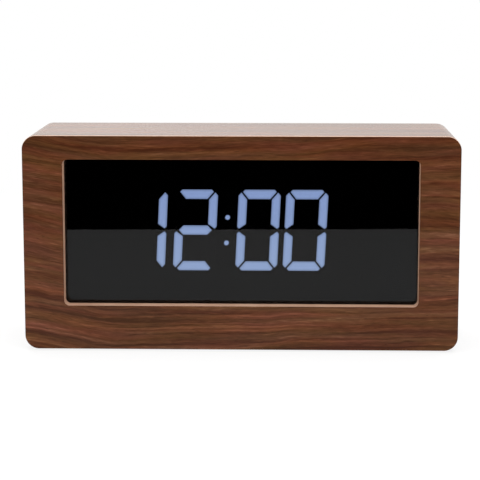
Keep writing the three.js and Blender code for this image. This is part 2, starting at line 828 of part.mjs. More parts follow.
function powerSocket() {
  const shell = at(box(socketWidth, socketDepth, socketHeight), 0, socketDepth / 2, 0);
  const boreTool = rod(socketBoreRadius, socketBoreDepth + cutOverrun, roundSides);
  const bore = at(boreTool, 0, socketDepth + (cutOverrun - socketBoreDepth) / 2, 0);
  const pinLength = socketBoreDepth - socketPinRecess + cutOverrun;
  const pin = at(rod(socketPinRadius, pinLength), 0, socketDepth - socketPinRecess - pinLength / 2, 0);
  return mesh("power_socket", join(cut(shell, bore), pin), "blackPlastic", socketX, boardBackY, socketZ);
}

// Buttons: a cap held by a flange behind the cover, on the plunger of a tact switch
function buttonPlaces() {
  return buttonNames.map((name, i) => [name, firstButtonX - i * buttonPitch]);
}

function buttons() {
  const plungerTopY = tactHeight + tactPlungerProud;
  const coverY = postLength;
  const flangeY = coverY - buttonFlangeThickness;
  const flangeRadius = buttonRadius + buttonFlangeWidth;
  const capY = coverY + coverThickness + buttonProud;
  const plungerLength = tactPlungerProud + tactPlungerRoot;
  const wellDepth = tactPlungerRoot + buttonTravel + fitGap;
  const wellTool = rod(tactPlungerRadius + fitGap, wellDepth + cutOverrun);
  const cap = turned([
    [0, plungerTopY],
    [buttonStemRadius, plungerTopY],
    [buttonStemRadius, flangeY],
    [flangeRadius, flangeY],
    [flangeRadius, coverY],
    [buttonRadius, coverY],
    [buttonRadius, capY - edgeChamfer],
    [buttonRadius - edgeChamfer, capY],
    [0, capY],
  ], roundSides);
  return buttonPlaces().flatMap(([name, x]) => {
    const shell = at(box(tactSide, tactHeight, tactSide), 0, tactHeight / 2, 0);
    const well = at(wellTool, 0, tactHeight + (cutOverrun - wellDepth) / 2, 0);
    const plunger = at(rod(tactPlungerRadius, plungerLength), 0, plungerTopY - plungerLength / 2, 0);
    return [
      mesh(`${name}_button`, cap.clone(), "blackPlastic", x, boardBackY, buttonZ),
      mesh(`${name}_plunger`, plunger, "whitePlastic", x, boardBackY, buttonZ),
      mesh(`${name}_switch`, cut(shell, well), "chipBlack", x, boardBackY, buttonZ),
    ];
  });
}

// Alarm switch: at rest the knob stands at the left end of its travel, seen from the front
function alarmSwitch() {
  const shell = at(box(switchLength, switchHeight, switchWidth), 0, switchHeight / 2, 0);
  const slotLength = knobStemLength + knobTravel + 2 * fitGap;
  const slotDepth = knobRoot + fitGap;
  const slot = box(slotLength, slotDepth + cutOverrun, knobStemWidth + 2 * fitGap);
  const body = cut(shell, at(slot, 0, switchHeight + (cutOverrun - slotDepth) / 2, 0));
  const headTopY = postLength + coverThickness + knobProud;
  const skirtTopY = postLength - fitGap;
  const skirtY = skirtTopY - knobSkirtThickness;
  const stemY = switchHeight - knobRoot;
  const stemLength = skirtTopY - stemY;
  const stem = at(box(knobStemLength, stemLength, knobStemWidth), 0, stemY + stemLength / 2, 0);
  const skirtPlate = box(knobSkirtLength, knobSkirtThickness, knobSkirtWidth);
  const skirt = at(skirtPlate, 0, skirtY + knobSkirtThickness / 2, 0);
  const head = at(box(knobLength, headTopY - skirtY, knobWidth), 0, (headTopY + skirtY) / 2, 0);
  const knobX = switchX - knobTravel / 2;
  return [
    mesh("alarm_switch", body, "chipBlack", switchX, boardBackY, buttonZ),
    mesh("alarm_knob", join(stem, skirt, head), "whitePlastic", knobX, boardBackY, buttonZ),
  ];
}

// Back cover: recessed plate with posts for the clock board and every opening that the keys need
function backCover() {
  const plate = slab(roundedRect(coverWidth, coverHeight, sleeveInnerRadius), coverThickness);
  const boardRise = boardMidZ - caseMidZ;
  const post = rod(postRadius, postLength + coverThickness / 2);
  const postY = (coverThickness / 2 - postLength) / 2;
  const posts = postPlaces().map(([x, z]) => at(post, boardMidX + x, postY, boardRise + z));
  const pilotDepth = boardScrewLength - boardThickness + fitGap;
  const pilot = rod(boardScrewShankRadius + fitGap, pilotDepth + cutOverrun);
  const pilotY = (pilotDepth - cutOverrun) / 2 - postLength;
  const pilots = screwedPosts().map(([x, z]) => at(pilot, boardMidX + x, pilotY, boardRise + z));
  const body = cut(join(plate, ...posts), ...pilots, ...coverOpenings());
  return mesh("back_cover", body, "blackPlastic", 0, coverFrontY, caseMidZ);
}

// Cutters for the door, socket, alarm knob, buttons, sound holes and screws
function coverOpenings() {
  const depth = coverThickness + 2 * cutOverrun;
  const slot = (width, height, x, z) => {
    return at(box(width + 2 * fitGap, depth, height + 2 * fitGap), x, coverThickness / 2, z - caseMidZ);
  };
  const hole = (radius, x, z, sides) => at(rod(radius, depth, sides), x, coverThickness / 2, z - caseMidZ);
  return [
    slot(doorWidth, doorHeight, bayCentreX, doorMidZ()),
    slot(socketWidth, socketHeight, socketX, socketZ),
    slot(knobLength + knobTravel, knobWidth, switchX, buttonZ),
    ...buttonPlaces().map(([, x]) => hole(buttonRadius + fitGap, x, buttonZ, roundSides)),
    ...soundHolePlaces().map(([x, z]) => hole(soundHoleRadius, x, z, smallSides)),
    ...cornerPlaces().map(([x, z]) => hole(screwShankRadius + fitGap, x, caseMidZ + z, smallSides)),
  ];
}

const doorMidZ = () => bayFloorZ + doorHeight / 2;

function soundHolePlaces() {
  const ring = Array.from({ length: soundHoleCount }, (_, i) => {
    const angle = 2 * Math.PI * i / soundHoleCount;
    return [buzzerX + soundHolePitch * Math.cos(angle), buzzerZ + soundHolePitch * Math.sin(angle)];
  });
  return [[buzzerX, buzzerZ], ...ring];
}

function coverScrews() {
  return cornerPlaces().map(([x, z], i) => {
    const size = [screwHeadRadius, screwHeadHeight, screwShankRadius, coverScrewLength];
    return screw(`cover_screw_${i + 1}`, ...size, x, coverBackY, caseMidZ + z);
  });
}

// Battery tray: a box open to the back, whose flange is fixed to the inside of the cover
function batteryTray() {
  const outerWidth = bayLength + 2 * bayWall;
  const outerHeight = bayHeight + 2 * bayWall;
  const outerDepth = bayDepth + bayWall;
  const outer = at(box(outerWidth, outerDepth, outerHeight), 0, -outerDepth / 2, 0);
  const flangePlate = box(outerWidth + 2 * bayFlange, bayFlangeThickness, outerHeight + 2 * bayFlange);
  const flange = at(flangePlate, 0, -bayFlangeThickness / 2, 0);
  const bay = at(box(bayLength, bayDepth + cutOverrun, bayHeight), 0, (cutOverrun - bayDepth) / 2, 0);
  const notchReach = Math.hypot(hookReach, doorFrontSetback() + hookThickness) + fitGap;
  const notchDepth = notchReach - coverThickness;
  const notchDrop = hookReach + 2 * fitGap;
  const notchHeight = notchReach + notchDrop;
  const notch = box(hookWidth + 4 * fitGap, notchDepth + cutOverrun, notchHeight);
  const notchZ = bayFloorZ - bayMidZ + (notchReach - notchDrop) / 2;
  const notchY = (cutOverrun - notchDepth) / 2;
  const notches = [-1, 1].map((side) => at(notch, side * hookSpacing / 2, notchY, notchZ));
  const body = cut(join(outer, flange), bay, ...notches);
  return mesh("battery_tray", body, "blackPlastic", bayCentreX, coverFrontY, bayMidZ);
}

// How far the near face of a hook lies in front of the cover's back face
const doorFrontSetback = () => coverThickness + fitGap;

function cellPlaces() {
  return Array.from({ length: cellCount }, (_, i) => [i % 2 === 0 ? 1 : -1, firstCellZ + i * cellPitch]);
}

// Cells lie along X and alternate, with the raised end on the right in the first one
function cells() {
  const half = cellLength / 2;
  const cell = turned([
    [0, -half],
    [cellRadius - edgeChamfer, -half],
    [cellRadius, edgeChamfer - half],
    [cellRadius, half - edgeChamfer],
    [cellRadius - edgeChamfer, half],
    [cellNubRadius, half],
    [cellNubRadius, half + cellNubLength],
    [0, half + cellNubLength],
  ], roundSides).rotateZ(-Math.PI / 2);
  return cellPlaces().map(([way, z], i) => {
    const x = bayCentreX + way * cellMidX;
    const piece = mesh(`battery_cell_${i + 1}`, cell.clone(), "cellWrap", x, cellY, z);
    piece.rotation.z = way > 0 ? 0 : Math.PI;
    return piece;
  });
}

// Contacts: a plate with a bump at each raised end, and a spring on a plate at each flat end
function contacts() {
  const plate = at(box(contactThickness, contactSide, contactSide), contactThickness / 2, 0, 0);
  const rootX = contactThickness / 2;
  const bumpLength = plateContactLength - rootX;
  const bump = rod(contactBumpRadius, bumpLength).rotateZ(Math.PI / 2);
  const plateContact = join(plate, at(bump, rootX + bumpLength / 2, 0, 0));
  const coneLength = springLength - rootX;
  const cone = new THREE.CylinderGeometry(springTipRadius, springBaseRadius, coneLength, smallSides);
  const springContact = join(plate, at(cone.rotateZ(-Math.PI / 2), rootX + coneLength / 2, 0, 0));
  return cellPlaces().flatMap(([way, z], i) => {
    const reach = way * bayLength / 2;
    const plateX = bayCentreX + reach;
    const springX = bayCentreX - reach;
    const positive = mesh(`plate_contact_${i + 1}`, plateContact.clone(), "brightMetal", plateX, cellY, z);
    positive.rotation.z = way > 0 ? Math.PI : 0;
    const negative = mesh(`spring_contact_${i + 1}`, springContact.clone(), "brightMetal", springX, cellY, z);
    negative.rotation.z = way > 0 ? 0 : Math.PI;
    return [positive, negative];
  });
}

// Leads from the end of the bay to the back face of the clock board
function batteryLeads() {
  const boardEdgeX = boardLeftX + boardWidth;
  const endX = boardEdgeX - postInset;
  const startX = bayCentreX - bayLength / 2 - bayWall - thinGap;
  const colours = { red: "redWire", black: "blackWire" };
  const places = cellPlaces();
  const ends = [places[0][1], places[places.length - 1][1]];
  return Object.entries(colours).map(([colour, finish], i) => {
    const z = ends[i];
    const endY = boardBackY + thinGap;
    const path = new THREE.CatmullRomCurve3([
      new THREE.Vector3(startX, cellY, z),
      new THREE.Vector3(startX - leadBow, cellY, z),
      new THREE.Vector3((startX + endX) / 2, cellY + leadBow / 3, (z + bayMidZ) / 2),
      new THREE.Vector3(endX, endY + leadBow / 2, z),
      new THREE.Vector3(endX, endY, z),
    ]);
    const section = new THREE.Shape().absarc(0, 0, leadRadius, 0, 2 * Math.PI);
    const options = { steps: wireSteps, bevelEnabled: false, curveSegments: cornerSteps };
    const wire = new THREE.ExtrudeGeometry(section, { ...options, extrudePath: path });
    return mesh(`battery_lead_${colour}`, wire, finish);
  });
}

// Battery door, whose lower outer edge is its hinge line; its place is from that edge
function batteryDoor() {
  const plate = at(box(doorWidth, doorThickness, doorHeight), 0, -doorThickness / 2, doorHeight / 2);
  const hookY = -doorFrontSetback() - hookThickness / 2;
  const rootDepth = doorFrontSetback() + hookThickness - doorThickness / 2;
  const hook = box(hookWidth, hookThickness, hookRoot + hookReach);
  const root = box(hookWidth, rootDepth, hookRoot - fitGap);
  const hooks = [-1, 1].flatMap((side) => [
    at(hook, side * hookSpacing / 2, hookY, (hookRoot - hookReach) / 2),
    at(root, side * hookSpacing / 2, -doorThickness / 2 - rootDepth / 2, (hookRoot + fitGap) / 2),
  ]);
  const latchZ = doorHeight - latchInset - latchThickness / 2;
  const latchLength = latchDepth + doorThickness / 2;
  const latchY = -(doorThickness + latchLength) / 2;
  const latch = at(box(latchWidth, latchLength, latchThickness), 0, latchY, latchZ);
  const gripZ = doorHeight + (cutOverrun - latchGripHeight) / 2;
  const grip = at(box(latchWidth, 2 * latchGripDepth, latchGripHeight + cutOverrun), 0, 0, gripZ);
  const rib = box(ribLength, 2 * ribProud, ribWidth);
  const ribs = Array.from({ length: ribCount }, (_, i) => {
    return at(rib, 0, 0, doorHeight - latchGripHeight - (i + 1) * ribPitch);
  });
  const body = cut(join(plate, ...hooks, latch, ...ribs), grip);
  return mesh("battery_door", body, "blackPlastic", bayCentreX, coverBackY, bayFloorZ);
}

const display = unit(lensGasket(), lens(), displayMask(), ...diffusers(), displayReflector(), displayBoard());
const link = unit(...displayScrews(), ...connectors(), ribbonCable());
const casing = unit(frontPanel(), caseSleeve(), ...feet());
const electronics = unit(clockBoard(), ...boardScrews(), clockChip(), crystal(), capacitor(), buzzer());
const controls = unit(powerSocket(), ...buttons(), ...alarmSwitch());
const cover = unit(backCover(), ...coverScrews());
const battery = unit(batteryTray(), ...cells(), ...contacts(), ...batteryLeads(), batteryDoor());

export default unit(casing, display, link, electronics, controls, cover, battery);
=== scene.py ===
import math

import bmesh
import bpy
from mathutils import Matrix, Vector


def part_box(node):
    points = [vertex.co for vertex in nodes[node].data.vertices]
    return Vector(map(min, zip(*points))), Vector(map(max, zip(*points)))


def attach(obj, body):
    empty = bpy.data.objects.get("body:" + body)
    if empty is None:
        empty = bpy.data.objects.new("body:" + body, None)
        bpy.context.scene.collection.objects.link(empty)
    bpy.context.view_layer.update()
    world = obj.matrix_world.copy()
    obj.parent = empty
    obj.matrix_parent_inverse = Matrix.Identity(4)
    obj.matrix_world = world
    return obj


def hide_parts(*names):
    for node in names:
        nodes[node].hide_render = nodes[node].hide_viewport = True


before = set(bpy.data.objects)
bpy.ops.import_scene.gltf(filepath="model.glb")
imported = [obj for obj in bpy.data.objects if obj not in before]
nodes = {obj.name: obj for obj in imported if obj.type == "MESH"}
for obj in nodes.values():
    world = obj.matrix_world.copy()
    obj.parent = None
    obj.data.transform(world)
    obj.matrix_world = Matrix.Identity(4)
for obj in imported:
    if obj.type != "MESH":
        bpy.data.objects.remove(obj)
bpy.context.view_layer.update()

MM = 0.001


# The view: a long lens, a little above the clock and to its right, that looks down at the middle of the front
# board. The camera isn't rolled, and has no shift and no depth of field.
LENS_MM = 129.2
SENSOR_MM = 36
CAMERA_PLACE = Vector((26.9, -1013, 223.2)) * MM
CAMERA_AIM = Vector((-0.5, -40, 65.1)) * MM


def shown(name, data):
    """Puts a thing in the scene."""
    made = bpy.data.objects.new(name, data)
    bpy.context.scene.collection.objects.link(made)
    return made


camera_data = bpy.data.cameras.new("view")
camera_data.lens = LENS_MM
camera_data.sensor_width = SENSOR_MM
camera_data.clip_end = 30
camera = shown("view", camera_data)
camera.location = CAMERA_PLACE
camera.rotation_euler = (CAMERA_AIM - CAMERA_PLACE).to_track_quat("-Z", "Y").to_euler()
bpy.context.scene.camera = camera
bpy.context.scene.view_settings.view_transform = "Standard"


# Front board: 8 mm fibre board with walnut veneer on its face and outer edge, grain from side to side. The
# window is routed through it, so its wall shows the pale core. The arris along the top gets the same pale
# finish as a painted highlight.
STILE = 23 * MM
TOP_RAIL = 13.7 * MM
BOTTOM_RAIL = 25.5 * MM
CASE_RADIUS = 8 * MM
WINDOW_RADIUS = 3 * MM
ARRIS = 0.35 * MM
WINDOW_ARRIS = 0.15 * MM
BACK_ARRIS = 0.05 * MM
CASE_CORNER_STEPS = 24
SHARP_DEGREES = 38
FALL_SPAN = (-72 * MM, -138 * MM)
CLIMB_SPAN = (-20 * MM, 125 * MM)
FALL_DROP = 8.5 * MM
CLIMB_RISE = 4.5 * MM
SLOW_SWAY = 10.5 * MM
QUICK_SWAY = 1.4 * MM
LOW_RAIL_SPAN = (36 * MM, 22 * MM)
TOP_BAND_SPAN = (111 * MM, 119 * MM)
# The wrap's tint lifts its colour well above the face's: a painted sheen for the pale top and sides.
FACE_VENEER = {"shift": 3.1, "coat": 0.15, "tint_and_sheen": (0.95, 0.975, 1.01)}
WRAP_VENEER = {"shift": 7.6, "coat": 0.62, "tint_and_sheen": (1.40, 1.58, 1.40)}


class Wire:
    """A socket of a finish: arithmetic on it adds the Math nodes."""

    def __init__(self, finish, socket):
        self.finish = finish
        self.socket = socket

    def math(self, operation, other, swapped=False):
        first, second = (other, self) if swapped else (self, other)
        return self.finish.node("Math", {"operation": operation}, {0: first, 1: second})

    def __add__(self, other):
        return self.math("ADD", other)

    __radd__ = __add__

    def __sub__(self, other):
        return self.math("SUBTRACT", other)

    def __rsub__(self, other):
        return self.math("SUBTRACT", other, swapped=True)

    def __mul__(self, other):
        return self.math("MULTIPLY", other)

    __rmul__ = __mul__

    def rises(self, low, high):
        """0 below low and 1 above high, with a smooth step between them."""
        limits = {"Value": self, "From Min": low, "From Max": high}
        return self.finish.node("MapRange", {"interpolation_type": "SMOOTHSTEP"}, limits)


class Finish:
    """A material being made. Its node method adds any shader node, and its surface method ends it."""

    def __init__(self, name, kinds=bpy.data.materials):
        self.made = kinds.new(name)
        self.made.use_nodes = True
        self.tree = self.made.node_tree
        self.tree.nodes.clear()

    def node(self, kind, settings=None, inputs=None, output=0):
        made = self.tree.nodes.new("ShaderNode" + kind)
        for key, value in (settings or {}).items():
            if key == "stops":
                self.set_stops(made.color_ramp, value)
            else:
                setattr(made, key, value)
        for key, value in (inputs or {}).items():
            if isinstance(value, Wire):
                self.tree.links.new(value.socket, made.inputs[key])
            else:
                made.inputs[key].default_value = value
        return Wire(self, made.outputs[output]) if made.outputs else None

    def set_stops(self, ramp, stops):
        while len(ramp.elements) < len(stops):
            ramp.elements.new(1)
        for element, (position, colour) in zip(ramp.elements, stops):
            element.position = position
            element.color = (*colour, 1)

    def parts(self, vector):
        return [self.node("SeparateXYZ", {}, {0: vector}, axis) for axis in range(3)]

    def vector(self, x, y, z=0.0):
        return self.node("CombineXYZ", {}, {0: x, 1: y, 2: z})

    def place(self):
        """Where a point of the piece is, in metres."""
        return self.node("TexCoord", {}, {}, 3)

    def noise(self, scale, detail=2, roughness=0.5, vector=None):
        """Soft noise over the piece, or over another vector."""
        inputs = {"Vector": vector or self.place(), "Scale": scale, "Detail": detail, "Roughness": roughness}
        return self.node("TexNoise", {}, inputs)

    def mix(self, share, first, second, blend="MIX"):
        settings = {"data_type": "RGBA", "blend_type": blend}
        return self.node("Mix", settings, {0: share, 6: self.colour(first), 7: self.colour(second)}, 2)

    def colour(self, value):
        return value if isinstance(value, Wire) else (*value, 1)

    def ramp(self, share, stops):
        return self.node("ValToRGB", {"stops": stops}, {0: share})

    def bump(self, height, depth, strength=1.0):
        """A rough surface, with its depth in millimetres."""
        return self.node("Bump", {}, {"Height": height, "Distance": depth * MM, "Strength": strength})

    def surface(self, colour, roughness, normal=None, **fixed):
        """Ends the material. The fixed values are set on the shader's own sockets."""
        inputs = {"Base Color": self.colour(colour), "Roughness": roughness}
        if normal is not None:
            inputs["Normal"] = normal
        inputs.update({key.replace("_", " "): value for key, value in fixed.items()})
        shader = self.node("BsdfPrincipled", {}, inputs)
        self.node("OutputMaterial", {}, {"Surface": shader})
        return self.made


def walnut_veneer(name, shift, coat, tint_and_sheen):
    """Sliced walnut under satin lacquer. Its lines fall away from the left end and climb towards the right
    one, in slow bands and ripples, with short streaks, fibres, painted bright glints and dark open pores."""
    f = Finish(name)
    along, across, _ = f.parts(f.node("UVMap", {"uv_map": "grain"}))
    fall = along.rises(*FALL_SPAN)
    climb = along.rises(*CLIMB_SPAN)
    along = along + shift

    def figure(level, lengthwise, sideways, seed=0, detail=2, roughness=0.5):
        """Noise drawn out along the grain, from how many marks lie in a metre each way."""
        vector = f.vector(along * lengthwise, level * sideways, shift + seed)
        return f.noise(1, detail, roughness, vector)

    slow = figure(across, 11, 18) - 0.5
    quick = figure(across, 55, 90) - 0.5
    line = across + slow * SLOW_SWAY + quick * QUICK_SWAY - fall * FALL_DROP - climb * CLIMB_RISE
    bands = figure(line, 5, 75)
    ripples = figure(line, 10, 245, 2, 1)
    rings = figure(line, 5, 430, 1, 1) - 0.5
    low_down = across.rises(*LOW_RAIL_SPAN)
    streaks = figure(line, 34, 640, 0, 2, 0.6)
    fibres = figure(line, 150, 1400, 0, 3, 0.6)
    # Short bright streaks painted into the colour as glints of the lacquer.
    painted_glints = figure(line, 75, 800, 6).rises(0.56, 0.76)
    pores = figure(line, 170, 1250, 4, 2, 0.6).rises(0.62, 0.76)
    tone = bands * 0.36 + ripples * 0.70 + streaks * 0.46 + fibres * 0.58 + painted_glints * 0.20 - 0.61
    tone = tone + rings * (0.45 + low_down * 0.55)
    colour = f.ramp(tone, [
        (0.20, (0.052, 0.0160, 0.0058)),
        (0.40, (0.084, 0.0280, 0.0108)),
        (0.58, (0.118, 0.0415, 0.0168)),
        (0.82, (0.185, 0.0720, 0.0340)),
    ])
    red = figure(line, 14, 190, 9).rises(0.32, 0.68)
    plum = figure(line, 20, 110, 11).rises(0.32, 0.68)
    colour = f.mix(1.0, colour, f.mix(red, (0.93, 1.05, 0.95), (1.09, 0.95, 0.97)), "MULTIPLY")
    colour = f.mix(1.0, colour, f.mix(plum, (1.01, 1.00, 0.87), (0.99, 0.98, 1.15)), "MULTIPLY")
    colour = f.mix(across.rises(*TOP_BAND_SPAN), colour, (0.84, 0.78, 0.69), "MULTIPLY")
    colour = f.mix(pores * 0.65, colour, (0.034, 0.0115, 0.0050))
    # Multiplied by the tint; on the wrap this is a painted sheen that brightens the top and sides.
    colour = f.mix(1.0, colour, tint_and_sheen, "MULTIPLY")
    height = fibres * 0.35 - pores * 0.8 + streaks * 0.2
    normal = f.bump(height, 0.06, 0.45)
    roughness = 0.42 + streaks * 0.08 + pores * 0.12
    fixed = {"Coat_Weight": coat, "Coat_Roughness": 0.12, "Specular_IOR_Level": 0.03}
    return f.surface(colour, roughness, normal, **fixed)


def core_board():
    """Sanded edge of fibre board under lacquer: pale tan with short fibres and faint darker specks. It also
    paints a highlight on the top arris of the front board.
    """
    f = Finish("core_board")
    fibres = f.noise(1500, 4, 0.65)
    cloud = f.noise(60, 2)
    tone = fibres * 0.6 + cloud * 0.4
    colour = f.ramp(tone, [
        (0.30, (0.50, 0.28, 0.185)),
        (0.52, (0.66, 0.41, 0.285)),
        (0.75, (0.80, 0.54, 0.40)),
    ])
    return f.surface(colour, 0.42 + fibres * 0.12, f.bump(fibres, 0.04, 0.5), Specular_IOR_Level=0.4)


def rounded_loop(low, high, radius, steps=16):
    """Corners of a rounded rectangle in the X and Z plane, counterclockwise, from the bottom right."""
    (x0, z0), (x1, z1) = low, high
    centres = (
        (x1 - radius, z0 + radius, 270),
        (x1 - radius, z1 - radius, 0),
        (x0 + radius, z1 - radius, 90),
        (x0 + radius, z0 + radius, 180),
    )
    points = []
    for x, z, start in centres:
        for i in range(steps + 1):
            angle = math.radians(start + 90 * i / steps)
            points.append((x + radius * math.cos(angle), z + radius * math.sin(angle)))
    return points


def round_loop(x, z, radius, sides):
    angles = [2 * math.pi * i / sides for i in range(sides)]
    return [(x + radius * math.cos(a), z + radius * math.sin(a)) for a in angles]


def drawn_in(loop, distance):
    """A counterclockwise loop moved inwards."""
    points = []
    for i, here in enumerate(loop):
        here = Vector(here)
        before = (here - Vector(loop[i - 1])).normalized()
        after = (Vector(loop[(i + 1) % len(loop)]) - here).normalized()
        shift = distance / max(1 + before.dot(after), 0.2)
        points.append((here.x - (before.y + after.y) * shift, here.y + (before.x + after.x) * shift))
    return points


def edge_profile(front, back, front_round, back_round, steps=4):
    """Pairs of inset and Y from the front face to the back face, with quarter rounds between."""
    pairs = []
    for i in range(steps + 1):
        angle = math.pi / 2 * i / steps
        pairs.append((front_round * (1 - math.sin(angle)), front + front_round * (1 - math.cos(angle))))
    for i in range(steps + 1):
        angle = math.pi / 2 * i / steps
        pairs.append((back_round * (1 - math.cos(angle)), back - back_round * (1 - math.sin(angle))))
    return pairs


def pierced_plate(loops, outer, inner=None, skins=None):
    """A plate of an outline and its holes. Skins are the materials of each loop's wall and arris."""
    bm = bmesh.new()
    grain = bm.loops.layers.uv.new("grain")
    ends = ([], [])
    for number, loop in enumerate(loops):
        profile = (inner or outer) if number else outer
        wall_level = len(profile) // 2 - 1
        wall, arris = skins[number] if skins else (0, 0)
        count = len(loop)
        run = [0.0]
        for i in range(count):
            run.append(run[-1] + (Vector(loop[(i + 1) % count]) - Vector(loop[i])).length)
        side = -1 if number else 1
        rings = [[bm.verts.new((x, y, z)) for x, z in drawn_in(loop, inset * side)] for inset, y in profile]
        for level, (near, far) in enumerate(zip(rings, rings[1:])):
            for i in range(count):
                j = (i + 1) % count
                face = bm.faces.new((near[i], near[j], far[j], far[i]))
                face.material_index = wall if level == wall_level else arris
                for corner, u in zip(face.loops, (run[i], run[i + 1], run[i + 1], run[i])):
                    in_front = level < wall_level
                    corner[grain].uv = corner.vert.co.xz if in_front else (u, corner.vert.co.y)
        for end, ring in zip(ends, (rings[0], rings[-1])):
            end.extend(bm.edges.get((ring[i], ring[(i + 1) % count])) for i in range(count))
    for end in ends:
        filled = bmesh.ops.triangle_fill(bm, edges=end, use_beauty=True)["geom"]
        for face in (item for item in filled if isinstance(item, bmesh.types.BMFace)):
            for corner in face.loops:
                corner[grain].uv = corner.vert.co.xz
    bmesh.ops.recalc_face_normals(bm, faces=bm.faces)
    bm.normal_update()
    return bm


def settled(piece):
    """Makes the piece's modifiers part of its own mesh."""
    depsgraph = bpy.context.evaluated_depsgraph_get()
    mesh = bpy.data.meshes.new_from_object(piece.evaluated_get(depsgraph))
    piece.modifiers.clear()
    piece.data = mesh
    return piece


def evened(piece):
    """Keeps flats flat beside rounded edges, by normals that follow the larger faces."""
    even = piece.modifiers.new("even", "WEIGHTED_NORMAL")
    even.keep_sharp = True
    return settled(piece)


def made_piece(name, bm, *materials, sharp_degrees=SHARP_DEGREES):
    """A finished piece from its mesh: smooth where it is round, crisp at its edges and flat on its flats."""
    for face in bm.faces:
        face.smooth = True
    for edge in bm.edges:
        edge.smooth = edge.is_manifold and edge.calc_face_angle() < math.radians(sharp_degrees)
    mesh = bpy.data.meshes.new(name)
    bm.to_mesh(mesh)
    bm.free()
    for material in materials:
        mesh.materials.append(material)
    return evened(shown(name, mesh))


def placed(piece, body, slot, *replaced):
    """Gives a piece its body and hides the solids whose place it takes. The colour slot is not used."""
    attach(piece, body)
    if replaced:
        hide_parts(*replaced)


board_low, board_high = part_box("front_panel")
window_low = (board_low.x + STILE, board_low.z + BOTTOM_RAIL)
window_high = (board_high.x - STILE, board_high.z - TOP_RAIL)
veneer_face = walnut_veneer("walnut_veneer_face", **FACE_VENEER)
veneer_wrap = walnut_veneer("walnut_veneer_wrap", **WRAP_VENEER)
front_mesh = pierced_plate(
    [
        rounded_loop(board_low.xz, board_high.xz, CASE_RADIUS, CASE_CORNER_STEPS),
        rounded_loop(window_low, window_high, WINDOW_RADIUS),
    ],
    edge_profile(board_low.y, board_high.y, ARRIS, BACK_ARRIS),
    edge_profile(board_low.y, board_high.y, WINDOW_ARRIS, BACK_ARRIS),
    skins=[(1, 0), (2, 0)],
)
# The faces of the top arris take the pale core finish: a painted highlight along the top front edge.
for face in front_mesh.faces:
    painted_arris_highlight = face.normal.z > 0.25 and face.normal.y < -0.05
    if painted_arris_highlight and face.calc_center_median().z > window_high[1] + WINDOW_ARRIS:
        face.material_index = 2
front_board = made_piece("front_board", front_mesh, veneer_face, veneer_wrap, core_board())
placed(front_board, "case", "walnut_veneer", "front_panel")


# Case sleeve: four 6 mm boards mitred into a tube and veneered round the outside, with a glued block in
# each corner that takes a cover screw. The rear edge is the bare board, stained dark.
SLEEVE_WALL = 6 * MM
INNER_RADIUS = 3 * MM
REAR_ARRIS = 0.6 * MM
JOINT_ARRIS = 0.06 * MM
BLOCK_SIDE = 14 * MM
BLOCK_LENGTH = 26 * MM
COVER_THICKNESS = 2.5 * MM


def stained_board():
    """Inside and rear edge of the tube: dark brown stain on fibre board, worn lighter in faint clouds."""
    f = Finish("stained_board")
    fibres = f.noise(1300, 4, 0.65)
    cloud = f.noise(45, 3)
    tone = fibres * 0.75 + cloud * 0.25
    colour = f.ramp(tone, [
        (0.36, (0.012, 0.0065, 0.004)),
        (0.50, (0.032, 0.0165, 0.010)),
        (0.66, (0.078, 0.042, 0.027)),
    ])
    return f.surface(colour, 0.6 + fibres * 0.15, f.bump(fibres, 0.1, 0.8), Specular_IOR_Level=0.25)


def add_block(bm, low, high, material=0):
    """Adds a plain block to a mesh."""
    size = Vector(high) - Vector(low)
    middle = (Vector(high) + Vector(low)) / 2
    matrix = Matrix.Translation(middle) @ Matrix.Diagonal((*size, 1))
    made = bmesh.ops.create_cube(bm, size=1, matrix=matrix)
    for face in {face for vert in made["verts"] for face in vert.link_faces}:
        face.material_index = material


sleeve_low, sleeve_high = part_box("case_sleeve")
cover_low, cover_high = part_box("back_cover")
cover_back = cover_high.y
cover_front = cover_back - COVER_THICKNESS
inner_low = (sleeve_low.x + SLEEVE_WALL, sleeve_low.z + SLEEVE_WALL)
inner_high = (sleeve_high.x - SLEEVE_WALL, sleeve_high.z - SLEEVE_WALL)
sleeve_mesh = pierced_plate(
    [
        rounded_loop(sleeve_low.xz, sleeve_high.xz, CASE_RADIUS, CASE_CORNER_STEPS),
        rounded_loop(inner_low, inner_high, INNER_RADIUS),
    ],
    edge_profile(sleeve_low.y, sleeve_high.y, JOINT_ARRIS, REAR_ARRIS),
    skins=[(0, 0), (1, 1)],
)
for face in sleeve_mesh.faces:
    if face.normal.y > 0.95:
        face.material_index = 1
for x, x_way in ((inner_low[0], 1), (inner_high[0], -1)):
    for z, z_way in ((inner_low[1], 1), (inner_high[1], -1)):
        xs = sorted((x, x + x_way * BLOCK_SIDE))
        zs = sorted((z, z + z_way * BLOCK_SIDE))
        add_block(sleeve_mesh, (xs[0], cover_front - BLOCK_LENGTH, zs[0]), (xs[1], cover_front, zs[1]), 1)
sleeve = made_piece("veneered_sleeve", sleeve_mesh, veneer_wrap, stained_board())
placed(sleeve, "case", "walnut_veneer", "case_sleeve")


# Feet: four moulded rubber pads, glued into round recesses under the sleeve. Each has a thin lip and a
# ring groove in its sole. Edges are pairs of distance in from the wall and of height, in millimetres.
FOOT_SIDES = 72
SOLE_EDGE = [(0, 0.35), (0.1, 0.12), (0.35, 0)]
GROOVE_IN = 3.3 * MM
GROOVE_OUT = 2.1 * MM
GROOVE_DEPTH = 0.35 * MM
GROOVE_SLOPE = 0.15 * MM


def rubber():
    """Moulded rubber: near black, matt, with a fine cast grain and pale dust where it rubs."""
    f = Finish("foot_rubber")
    cast = f.noise(2600, 3, 0.6)
    dust = f.noise(240, 4, 0.7).rises(0.5, 0.8)
    colour = f.mix(dust * 0.35, (0.021, 0.021, 0.023), (0.085, 0.083, 0.080))
    return f.surface(colour, 0.78 + cast * 0.15, f.bump(cast, 0.05, 0.6), Specular_IOR_Level=0.35)


